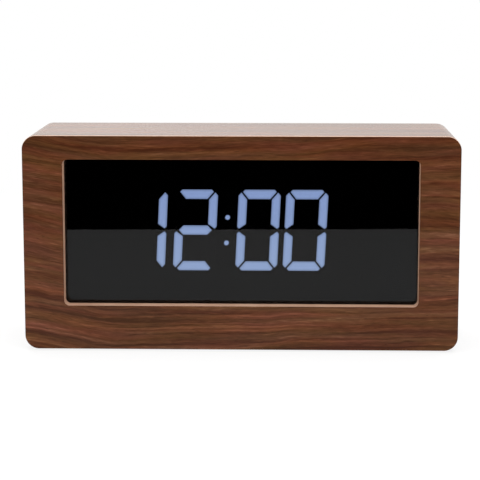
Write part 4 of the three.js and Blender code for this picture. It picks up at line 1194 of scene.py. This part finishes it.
for key in KEYS:
    node = f"{key}_switch"
    softened(node + "_body", node, SWITCH_ARRIS, epoxy, "case", "component_black")
    low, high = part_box(f"{key}_plunger")
    radius = (high.x - low.x) / 2
    length = high.y - low.y
    plunger_profile = [(0, 0), (radius, 0), *edged(radius, length, PLUNGER_EDGE), (0, length)]
    plunger_mesh = stood_at(f"{key}_plunger", turned(plunger_profile, PLUNGER_SIDES))
    plunger = made_piece(f"{key}_switch_plunger", plunger_mesh, milky_white)
    placed(plunger, f"{key}_key", "white_plastic", f"{key}_plunger")


# Alarm switch: a black slide switch, soldered to the back of the clock board. The white alarm knob is pushed
# onto its slider.
softened("alarm_switch_body", "alarm_switch", SWITCH_ARRIS, epoxy, "case", "component_black")


# Power socket: a black block soldered to the clock board, with a plated liner in its round bore and a
# centre pin.
SOCKET_BORE = 3.2 * MM
SOCKET_LINER = 0.35 * MM
SOCKET_DEPTH = 9 * MM
SOCKET_SIDES = 56
SOCKET_CORNER = 0.6 * MM
SOCKET_CORNER_STEPS = 6
SOCKET_MOUTH_ROUND = 0.35 * MM
SOCKET_FLOOR_ROUND = 0.05 * MM
LINER_INSET = 0.9 * MM
LINER_GAP = 0.02 * MM
LINER_MOUTH_ROUND = 0.1 * MM
SOCKET_PIN = 1.0 * MM
PIN_RECESS = 1.0 * MM
PIN_POINT = [(0, -0.5), (0.2, -0.12), (0.55, 0)]


def add_turned(bm, profile, x, y, z, sides=48):
    """Adds a round solid along Y to a mesh."""
    extra = turned(profile, sides)
    extra.transform(Matrix.Translation((x, y, z)))
    add_mesh(bm, extra)


def add_mesh(bm, extra):
    """Moves one mesh into another."""
    holder = bpy.data.meshes.new("extra")
    extra.to_mesh(holder)
    extra.free()
    bm.from_mesh(holder)
    bpy.data.meshes.remove(holder)


case_black = black_plastic("black_plastic", tone=0.0075, grain=1500, depth=0.05, shine=0.26)
socket_low, socket_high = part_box("power_socket")
socket_middle = (socket_low + socket_high) / 2
socket_floor = socket_high.y - SOCKET_DEPTH
socket_mesh = pierced_plate(
    [
        rounded_loop(socket_low.xz, socket_high.xz, SOCKET_CORNER, SOCKET_CORNER_STEPS),
        round_loop(socket_middle.x, socket_middle.z, SOCKET_BORE, SOCKET_SIDES),
    ],
    edge_profile(socket_floor, socket_high.y, SOCKET_FLOOR_ROUND, SOCKET_MOUTH_ROUND),
)
add_block(socket_mesh, socket_low, (socket_high.x, socket_floor, socket_high.z))
placed(made_piece("socket_block", socket_mesh, case_black), "case", "black_plastic", "power_socket")
liner_floor = socket_floor + LINER_GAP
liner_mesh = pierced_plate(
    [
        round_loop(socket_middle.x, socket_middle.z, SOCKET_BORE - inset, SOCKET_SIDES)
        for inset in (LINER_GAP, SOCKET_LINER)
    ],
    edge_profile(liner_floor, socket_high.y - LINER_INSET, SOCKET_FLOOR_ROUND, LINER_MOUTH_ROUND),
)
pin_top = SOCKET_DEPTH - PIN_RECESS
pin_profile = [
    (0, LINER_GAP),
    (SOCKET_PIN, LINER_GAP),
    *edged(SOCKET_PIN, pin_top, PIN_POINT),
    (0, pin_top),
]
add_turned(liner_mesh, pin_profile, socket_middle.x, socket_floor, socket_middle.z)
placed(made_piece("socket_contacts", liner_mesh, plate_metal), "case", "plated_metal")


# Keys: three round black caps with dished tops, held behind the cover by a flange. A white arrow or bar is
# moulded into each.
KEY_SIDES = 64
KEY_RADIUS = 4 * MM
KEY_FLANGE = 5 * MM
KEY_STEM = 1.6 * MM
KEY_EDGE = [(0, -0.5), (0.08, -0.22), (0.25, -0.05), (0.45, 0)]
FLANGE_EDGE = [(0.1, -0.8), (0, -0.7), (0, -0.1), (0.1, 0)]
DISH = 0.35 * MM
DISH_RIM = 0.15 * MM
DISH_SHARES = (0.84, 0.7, 0.5, 0.3, 0.15)
MARK_REACH = 1.5 * MM
MARK_PROUD = 0.12 * MM
MARK_ROOT = 0.1 * MM
MARK_ROUND = 0.05 * MM
MARKS = {
    "up": [(-1, -0.6), (1, -0.6), (0, 0.9)],
    "down": [(0, -0.9), (1, 0.6), (-1, 0.6)],
    "set": [(-1, -0.2), (1, -0.2), (1, 0.2), (-1, 0.2)],
}


def key_cap(low, high):
    """A cap from its switch plunger to its dished top."""
    length = high.y - low.y
    cap_start = cover_front - low.y
    rim = length - DISH_RIM
    flange = edged(KEY_FLANGE, cap_start, FLANGE_EDGE)
    profile = [
        (0, 0),
        (KEY_STEM, 0),
        (KEY_STEM, flange[0][1]),
        *flange,
        (KEY_RADIUS, cap_start),
        *edged(KEY_RADIUS, length, KEY_EDGE),
        *[(KEY_RADIUS * share, rim - DISH * (1 - share**2)) for share in DISH_SHARES],
        (0, rim - DISH),
    ]
    return turned(profile, KEY_SIDES)


key_black = black_plastic("key_black", tone=0.010, grain=2600, depth=0.02, shine=0.42)
for key in KEYS:
    node = f"{key}_button"
    low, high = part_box(node)
    cap = stood_at(node, key_cap(low, high))
    placed(made_piece(f"{key}_key_cap", cap, key_black), f"{key}_key", "black_plastic", node)
    centre = (low + high) / 2
    outline = [(centre.x + x * MARK_REACH, centre.z + z * MARK_REACH) for x, z in MARKS[key]]
    dish_floor = high.y - DISH_RIM - DISH
    mark_profile = edge_profile(dish_floor - MARK_ROOT, dish_floor + MARK_PROUD, 0, MARK_ROUND, 2)
    mark = pierced_plate([outline], mark_profile)
    placed(made_piece(f"{key}_key_mark", mark, milky_white), f"{key}_key", "white_plastic")


# Alarm knob: a white moulded slider whose skirt closes the slot in the cover, with three ridges for the
# finger.
KNOB_WIDTH = 3.4 * MM
KNOB_LENGTH = 5 * MM
KNOB_TRAVEL = 3 * MM
KNOB_ARRIS = 0.25 * MM
RIDGES = 3
RIDGE_SIDES = 12
RIDGE_END = 0.3 * MM
RIDGE_STEP = 1.2 * MM
RIDGE_RADIUS = 0.22 * MM


def ridges_tree():
    """A row of round-topped ridges on each place."""
    sizes = {"Step": "Vector", "Reach": "Vector", "Radius": "Float"}
    tree, start = tree_of("ridges", Count="Int", **sizes, Material="Material")
    other_way = {0: start["Reach"], "Scale": -1.0}
    back = add_node(tree, "ShaderNodeVectorMath", {"operation": "SCALE"}, other_way)
    ends = {"Start": back.outputs[0], "End": start["Reach"]}
    bar = add_node(tree, "GeometryNodeCurvePrimitiveLine", {}, ends)
    ridge = swept(tree, bar, RIDGE_SIDES, start["Radius"])
    finish_tree(tree, repeated(tree, in_a_row(tree, ridge, start), start["Places"]), start)
    return tree


softened("alarm_knob_body", "alarm_knob", KNOB_ARRIS, milky_white, "alarm_slider", "white_plastic")
knob_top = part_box("alarm_knob")[1].y
knob_middle = middle("alarm_knob")
ridge_start = (knob_middle.x - RIDGE_STEP * (RIDGES - 1) / 2, knob_top - RIDGE_RADIUS, knob_middle.z)
ridge_reach = (0, 0, KNOB_WIDTH / 2 - RIDGE_END)
ridges = {"Count": RIDGES, "Step": (RIDGE_STEP, 0, 0), "Reach": ridge_reach, "Radius": RIDGE_RADIUS}
knob_ridges = grown("alarm_knob_ridges", ridges_tree(), [ridge_start], **ridges, Material=milky_white)
placed(knob_ridges, "alarm_slider", "white_plastic")


# Battery tray: a black moulded bay for three slim cells side by side, with a flange all round its mouth. The
# flange is fixed to the inner face of the back cover.
BAY_ARRIS = 0.25 * MM

softened("battery_bay", "battery_tray", BAY_ARRIS, case_black, "case", "black_plastic")


# Plate contacts: three tabs of plated steel with a pressed bump, pushed into the ends of the battery tray.
# They meet the raised ends of the cells.
TAB_ARRIS = 0.08 * MM

for node in numbered("plate_contact", 3):
    softened(node + "_tab", node, TAB_ARRIS, plate_metal, "case", "plated_metal")


# Spring contacts: three tabs of plated steel, each with a conical coil spring of round wire. They meet the
# flat ends of the cells and push them against the plate contacts.
SPRING_TURNS = 4.5
SPRING_SIDES = 10
SPRING_TURN_STEPS = 28
SPRING_BASE = 3.6 * MM
SPRING_TIP = 2.2 * MM
SPRING_WIRE = 0.28 * MM
SPRING_TAB = 0.4 * MM
SPRING_WAYS = {1: 1, 2: -1, 3: 1}


def spring_tree():
    """A conical coil spring on each place, wound from round wire along Z."""
    lengths = {key: "Float" for key in ("Turns", "Base", "Tip", "Length", "Wire")}
    tree, start = tree_of("springs", **lengths, Material="Material")
    coil = add_node(tree, "GeometryNodeCurveSpiral", {}, {
        "Resolution": SPRING_TURN_STEPS,
        "Rotations": start["Turns"],
        "Start Radius": start["Base"],
        "End Radius": start["Tip"],
        "Height": start["Length"],
    })
    spring = swept(tree, coil, SPRING_SIDES, start["Wire"])
    finish_tree(tree, repeated(tree, spring, start["Places"]), start)
    return tree


SPRINGS = spring_tree()
for number, way in SPRING_WAYS.items():
    node = f"spring_contact_{number}"
    low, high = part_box(node)
    spring = grown(
        f"contact_spring_{number}",
        SPRINGS,
        [(0, 0, 0)],
        Turns=SPRING_TURNS,
        Base=SPRING_BASE - SPRING_WIRE,
        Tip=SPRING_TIP - SPRING_WIRE,
        Length=high.x - low.x - SPRING_TAB - 2 * SPRING_WIRE,
        Wire=SPRING_WIRE,
        Material=plate_metal,
    )
    tab_end = low.x + SPRING_TAB if way > 0 else high.x - SPRING_TAB
    stand = Matrix.Translation((tab_end + way * SPRING_WIRE, middle(node).y, middle(node).z))
    spring.data.transform(stand @ Matrix.Rotation(math.radians(90 * way), 4, "Y"))
    bm = bmesh.new()
    bm.from_mesh(spring.data)
    ends = sorted((tab_end, low.x if way > 0 else high.x))
    add_block(bm, (ends[0], low.y, low.z), (ends[1], high.y, high.z))
    bm.to_mesh(spring.data)
    bm.free()
    placed(spring, "case", "plated_metal", node)


# Cells: three slim round cells end about, each a plated can in glossy printed film with two plain fields of
# colour. The nub's edge has pairs of radius and height, in millimetres.
CELL_SIDES = 56
CELL_NUB = 1.0 * MM
CELL_BASE_SINK = 0.25 * MM
CELL_BASE_SHARES = (0.62, 0.66)
CELL_BASE_EDGE = [(0.9, 0), (0.75, 0.1), (0.25, 0.1), (0, 0.4)]
CELL_SHOULDER = [(0, -0.5), (0.3, -0.15), (0.9, -0.1), (1.0, -0.35)]
CELL_NUB_EDGE = [(2.2, -1.35), (1.9, -1.1), (1.9, -0.25), (1.7, -0.06), (1.4, 0)]
CELL_FILM = 0.5 * MM
CELL_FIELD_END = 33 * MM
CELL_LINE = 0.8 * MM
CELL_BLUR = 0.1 * MM


def cell_wrap():
    """Printed film on the can of a cell: two plain fields of colour and a pale line, glossy and scuffed."""
    f = Finish("cell_wrap")
    run = f.parts(f.node("UVMap", {"uv_map": "turn"}))[1]
    scuffs = f.noise(600, 4, 0.7).rises(0.6, 0.85)
    line_start = CELL_FIELD_END - CELL_LINE
    field = run.rises(CELL_FIELD_END, CELL_FIELD_END + CELL_BLUR)
    line = run.rises(line_start, line_start + CELL_BLUR) * (1 - field)
    colour = f.mix(field, (0.035, 0.10, 0.15), (0.42, 0.26, 0.07))
    colour = f.mix(line, colour, (0.7, 0.7, 0.68))
    colour = f.mix(scuffs * 0.25, colour, (0.5, 0.5, 0.5))
    return f.surface(colour, 0.24 + scuffs * 0.2, None, Metallic=0.35, Coat_Weight=0.5)


def cell_mesh(way):
    """A cell along X: a bare flat end, the wrapped can, a shoulder ring and the raised end."""
    low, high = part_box("battery_cell_1")
    radius = (high.z - low.z) / 2
    half = (high.x - low.x - CELL_NUB) / 2
    top = half + CELL_NUB
    profile = [
        (0, CELL_BASE_SINK - half),
        (radius * CELL_BASE_SHARES[0], CELL_BASE_SINK - half),
        (radius * CELL_BASE_SHARES[1], -half),
        *edged(radius, -half, CELL_BASE_EDGE),
        *edged(radius, half, CELL_SHOULDER),
        *[(out * MM, top + up * MM) for out, up in CELL_NUB_EDGE],
        (0, top),
    ]
    bm = turned(profile, CELL_SIDES, "X")
    for face in bm.faces:
        off_axis = max(math.hypot(vert.co.y, vert.co.z) for vert in face.verts)
        face.material_index = 0 if off_axis > radius - CELL_FILM else 1
    if way < 0:
        bm.transform(Matrix.Rotation(math.pi, 4, "Z"))
    return bm


wrap = cell_wrap()
for number, way in SPRING_WAYS.items():
    node = f"battery_cell_{number}"
    cell_bm = cell_mesh(way)
    cell_bm.transform(Matrix.Translation(middle(node) - Vector((way * CELL_NUB / 2, 0, 0))))
    placed(made_piece(f"wrapped_cell_{number}", cell_bm, wrap, plate_metal), "case", "cell_wrap", node)


# Battery leads: a red and a black wire of stranded copper in soft plastic. They are soldered to the end
# contacts of the battery tray and to the clock board.
LEAD_RADIUS = 0.6 * MM
LEAD_BOARD_X = -29 * MM
LEAD_ROUND = 3 * MM
LEAD_STEPS = 10
LEAD_START = 6 * MM
LEAD_BOW = 2 * MM
LEAD_TONES = {
    "red": ((0.36, 0.016, 0.012), (0.5, 0.14, 0.12)),
    "black": ((0.010, 0.010, 0.010), (0.08, 0.08, 0.08)),
}


def lead_route(start, bay_z, board_z):
    """From its solder joint in the tray round to the board: points on a smooth curve."""
    middle_z = (board_z + bay_z) / 2
    middle_x = (start.x - LEAD_START + LEAD_BOARD_X) / 2 + LEAD_ROUND
    corners = [
        start,
        start - Vector((LEAD_START, 0, 0)),
        Vector((middle_x, start.y + LEAD_BOW, middle_z)),
        Vector((LEAD_BOARD_X, board_back + LEAD_ROUND, board_z)),
        Vector((LEAD_BOARD_X, board_back, board_z)),
    ]
    corners = [2 * corners[0] - corners[1], *corners, 2 * corners[-1] - corners[-2]]
    points = []
    for a, b, c, d in zip(corners, corners[1:], corners[2:], corners[3:]):
        for t in (i / LEAD_STEPS for i in range(LEAD_STEPS)):
            bend = 2 * a - 5 * b + 4 * c - d
            turn = 3 * b - a - 3 * c + d
            points.append(b + ((c - a) * t + bend * t**2 + turn * t**3) / 2)
    return [*points, corners[-2]]


for colour, (tone, pale) in LEAD_TONES.items():
    node = f"battery_lead_{colour}"
    low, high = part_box(node)
    contact_z = middle("battery_cell_1" if colour == "red" else "battery_cell_3").z
    start = Vector((high.x, middle("battery_cell_1").y, contact_z))
    route = lead_route(start, middle("battery_tray").z, contact_z)
    plastic = sleeve_plastic(f"wire_{colour}", tone, pale)
    strand = {"Count": 1, "Step": (0, 0, 0), "Radius": LEAD_RADIUS}
    lead = grown(f"{colour}_wire", STRANDS, route, **strand, Material=plastic)
    placed(lead, "case", f"wire_{colour}", node)


# Back cover: a recessed plate of black plastic with a low rim, and frames round its keys, slot and socket.
# Holes let the buzzer out, and four posts on the inner face carry the clock board.
COVER_RADIUS = 3 * MM
COVER_ARRIS = 0.3 * MM
RUN_GAP = 0.3 * MM
SOUND_RADIUS = 1.0 * MM
SOUND_PITCH = 4 * MM
SOUND_COUNT = 6
POST_RADIUS = 3 * MM
POST_INSET = 5 * MM
SCREW_INSET = 7 * MM
SCREW_HOLE = 1.8 * MM
SMALL_HOLE_SIDES = 24
KEY_HOLE_SIDES = 56
DOOR_FOOT = 38 * MM
OPENING_CORNER = 0.8 * MM
OPENING_CORNER_STEPS = 6
COLLAR_WIDTH = 1.2 * MM
COLLAR_PROUD = 0.6 * MM
RIM_INSET = 2.6 * MM
RIM_RADIUS = 2 * MM
RIM_WIDTH = 1.2 * MM
RIM_PROUD = 0.4 * MM
FRAME_ROOT = 0.2 * MM
FRAME_ROOT_ARRIS = 0.02 * MM
FRAME_ROUND = 0.25 * MM


def opened(low_x, low_z, high_x, high_z):
    """An opening that clears what fills it."""
    low = (low_x - RUN_GAP, low_z - RUN_GAP)
    high = (high_x + RUN_GAP, high_z + RUN_GAP)
    return rounded_loop(low, high, OPENING_CORNER, OPENING_CORNER_STEPS)


def raised_frame(hole, width, proud):
    """A moulded frame round a hole in the outer face of the cover."""
    profile = edge_profile(cover_back - FRAME_ROOT, cover_back + proud, FRAME_ROOT_ARRIS, FRAME_ROUND)
    return pierced_plate([drawn_in(hole, -width), hole], profile)


door_low, door_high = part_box("battery_door")
key_z = middle("set_button").z
key_xs = [middle(f"{key}_button").x for key in KEYS]
key_hole = KEY_RADIUS + RUN_GAP
knob_left = knob_middle.x - KNOB_LENGTH / 2
sound = middle("buzzer")
sound_places = [(sound.x, sound.z), *round_loop(sound.x, sound.z, SOUND_PITCH, SOUND_COUNT)]
screw_xs = (inner_low[0] + SCREW_INSET, inner_high[0] - SCREW_INSET)
screw_zs = (inner_low[1] + SCREW_INSET, inner_high[1] - SCREW_INSET)
knob_right = knob_left + KNOB_LENGTH + KNOB_TRAVEL
knob_slot = opened(knob_left, key_z - KNOB_WIDTH / 2, knob_right, key_z + KNOB_WIDTH / 2)
socket_slot = opened(socket_low.x, socket_low.z, socket_high.x, socket_high.z)
cover_mesh = pierced_plate(
    [
        rounded_loop(cover_low.xz, cover_high.xz, COVER_RADIUS),
        opened(door_low.x, DOOR_FOOT, door_high.x, door_high.z),
        socket_slot,
        knob_slot,
        *[round_loop(x, key_z, key_hole, KEY_HOLE_SIDES) for x in key_xs],
        *[round_loop(x, z, SOUND_RADIUS, SMALL_HOLE_SIDES) for x, z in sound_places],
        *[round_loop(x, z, SCREW_HOLE, SMALL_HOLE_SIDES) for x in screw_xs for z in screw_zs],
    ],
    edge_profile(cover_front, cover_back, COVER_ARRIS, COVER_ARRIS),
)
for slot_loop in (knob_slot, socket_slot):
    add_mesh(cover_mesh, raised_frame(drawn_in(slot_loop, -COVER_ARRIS), COLLAR_WIDTH, COLLAR_PROUD))
for x in key_xs:
    hole = round_loop(x, key_z, key_hole + COVER_ARRIS, KEY_SIDES)
    add_mesh(cover_mesh, raised_frame(hole, COLLAR_WIDTH, COLLAR_PROUD))
rim_low = (cover_low.x + RIM_INSET, cover_low.z + RIM_INSET)
rim_high = (cover_high.x - RIM_INSET, cover_high.z - RIM_INSET)
add_mesh(cover_mesh, raised_frame(rounded_loop(rim_low, rim_high, RIM_RADIUS), RIM_WIDTH, RIM_PROUD))
post_height = cover_front - board_back
post_profile = [(0, 0), (POST_RADIUS, 0), (POST_RADIUS, post_height), (0, post_height)]
for x in (board_low_corner.x + POST_INSET, board_high_corner.x - POST_INSET):
    for z in (board_low_corner.z + POST_INSET, board_high_corner.z - POST_INSET):
        add_turned(cover_mesh, post_profile, x, board_back, z)
placed(made_piece("moulded_cover", cover_mesh, case_black), "case", "black_plastic", "back_cover")


# Cover screws: four pan-head screws of blackened steel. They go through the corners of the cover into the
# glued blocks of the case.
screws("cover_screws", numbered("cover_screw", 4), *screw_sizes, seed=5)


# Battery door: a flat lid that lies flush in the cover, hooked at its lower edge, with a latch tongue, a
# finger notch and three grip ribs at its upper edge.
DOOR_ARRIS = 0.25 * MM

softened("ribbed_battery_door", "battery_door", DOOR_ARRIS, case_black, "door", "black_plastic")


# Studio: a pale floor and soft lamps round the clock. The unlit side of the room, in front of it, is dark
# cloth that only polished surfaces see, which keeps the lens black above the reflection of the table.
FLOOR_SIZE = 12
TABLE_EDGE = -0.4755
TABLE_SKEW = 0.038
CLOTH_DEPTH = 1.3
CLOTH_HEIGHT = 3.2
CLOTH_WIDTH = 6.0
WORLD_LEVEL = 0.5
FLOOR_WHITE = 0.82
FLOOR_FADE = (0.25, 0.7)
LAMP_AIM = Vector((0, 0, 0.06))
LAMPS = {
    "key_lamp": ((0.75, -1.25, 1.25), (1.1, 0.8), 11),
    "fill_lamp": ((-0.95, -1.15, 0.9), (1.0, 0.8), 7),
    "top_lamp": ((0.05, 0.15, 1.5), (1.2, 1.0), 21),
    "rear_lamp": ((-0.5, 1.5, 1.1), (1.2, 0.9), 9),
}


def white_rays(f):
    """1 for every ray by which the room is seen, in the open, in a reflection or through the lens, else 0."""
    kinds = ("Is Camera Ray", "Is Glossy Ray", "Is Transmission Ray")
    seen = [f.node("LightPath", {}, {}, kind) for kind in kinds]
    return 1 - (1 - seen[0]) * (1 - seen[1]) * (1 - seen[2])


def studio_floor():
    """Pale floor that runs into the white of the room, and still takes the clock's shadow."""
    f = Finish("studio_floor")
    cloud = f.noise(3, 2)
    reach = f.node("VectorMath", {"operation": "LENGTH"}, {0: f.place()}, 1).rises(*FLOOR_FADE)
    colour = f.mix(cloud, (0.86, 0.86, 0.86), (0.90, 0.90, 0.90))
    matt = {"Base Color": colour, "Roughness": 0.9, "Specular IOR Level": 0.1}
    shader = f.node("BsdfPrincipled", {}, matt)
    white = f.node("Emission", {}, {"Color": (1, 1, 1, 1), "Strength": 1.0})
    level = reach * (1 - FLOOR_WHITE) + FLOOR_WHITE
    both = f.node("MixShader", {}, {0: white_rays(f) * level, 1: shader, 2: white})
    f.node("OutputMaterial", {}, {"Surface": both})
    return f.made


def dark_cloth():
    """Black velvet."""
    f = Finish("dark_cloth")
    pile = f.noise(400, 3)
    colour = f.mix(pile, (0.0006, 0.0006, 0.0006), (0.0014, 0.0014, 0.0014))
    return f.surface(colour, 1.0, None, Specular_IOR_Level=0.0)


def sheet_object(name, corners, material):
    mesh = bpy.data.meshes.new(name)
    mesh.from_pydata(corners, [], [tuple(range(len(corners)))])
    mesh.materials.append(material)
    made = shown(name, mesh)
    return made


half_floor = FLOOR_SIZE / 2
floor_z = -0.1 * MM
floor_corners = [(x * half_floor, y * half_floor, floor_z) for x, y in ((-1, -1), (1, -1), (1, 1), (-1, 1))]
sheet_object("studio_floor", floor_corners, studio_floor())
cloth = dark_cloth()
cloth_low = 0.5 * MM
far = TABLE_EDGE - CLOTH_DEPTH
half_cloth = CLOTH_WIDTH / 2
far_left, far_right = ((x, far, cloth_low) for x in (-half_cloth, half_cloth))
near_right, near_left = ((x, TABLE_EDGE - TABLE_SKEW * x, cloth_low) for x in (half_cloth, -half_cloth))
top_left, top_right = ((x, far, CLOTH_HEIGHT) for x in (-half_cloth, half_cloth))
lying = [far_left, far_right, near_right, near_left]
standing = [top_left, top_right, far_right, far_left]
for name, corners in (("dark_cloth_lying", lying), ("dark_cloth_standing", standing)):
    item = sheet_object(name, corners, cloth)
    item.visible_camera = False
    item.visible_diffuse = False
    item.visible_shadow = False


for name, (place, size, watts) in LAMPS.items():
    lamp = bpy.data.lights.new(name, "AREA")
    lamp.shape = "RECTANGLE"
    lamp.size, lamp.size_y = size
    lamp.energy = watts
    holder = shown(name, lamp)
    holder.location = place
    holder.rotation_euler = (LAMP_AIM - Vector(place)).to_track_quat("-Z", "Y").to_euler()

room = Finish("studio_room", bpy.data.worlds)
room_level = white_rays(room) * (1 - WORLD_LEVEL) + WORLD_LEVEL
room_light = room.node("Background", {}, {"Color": (1, 1, 1, 1), "Strength": room_level})
room.node("OutputWorld", {}, {"Surface": room_light})
bpy.context.scene.world = room.made
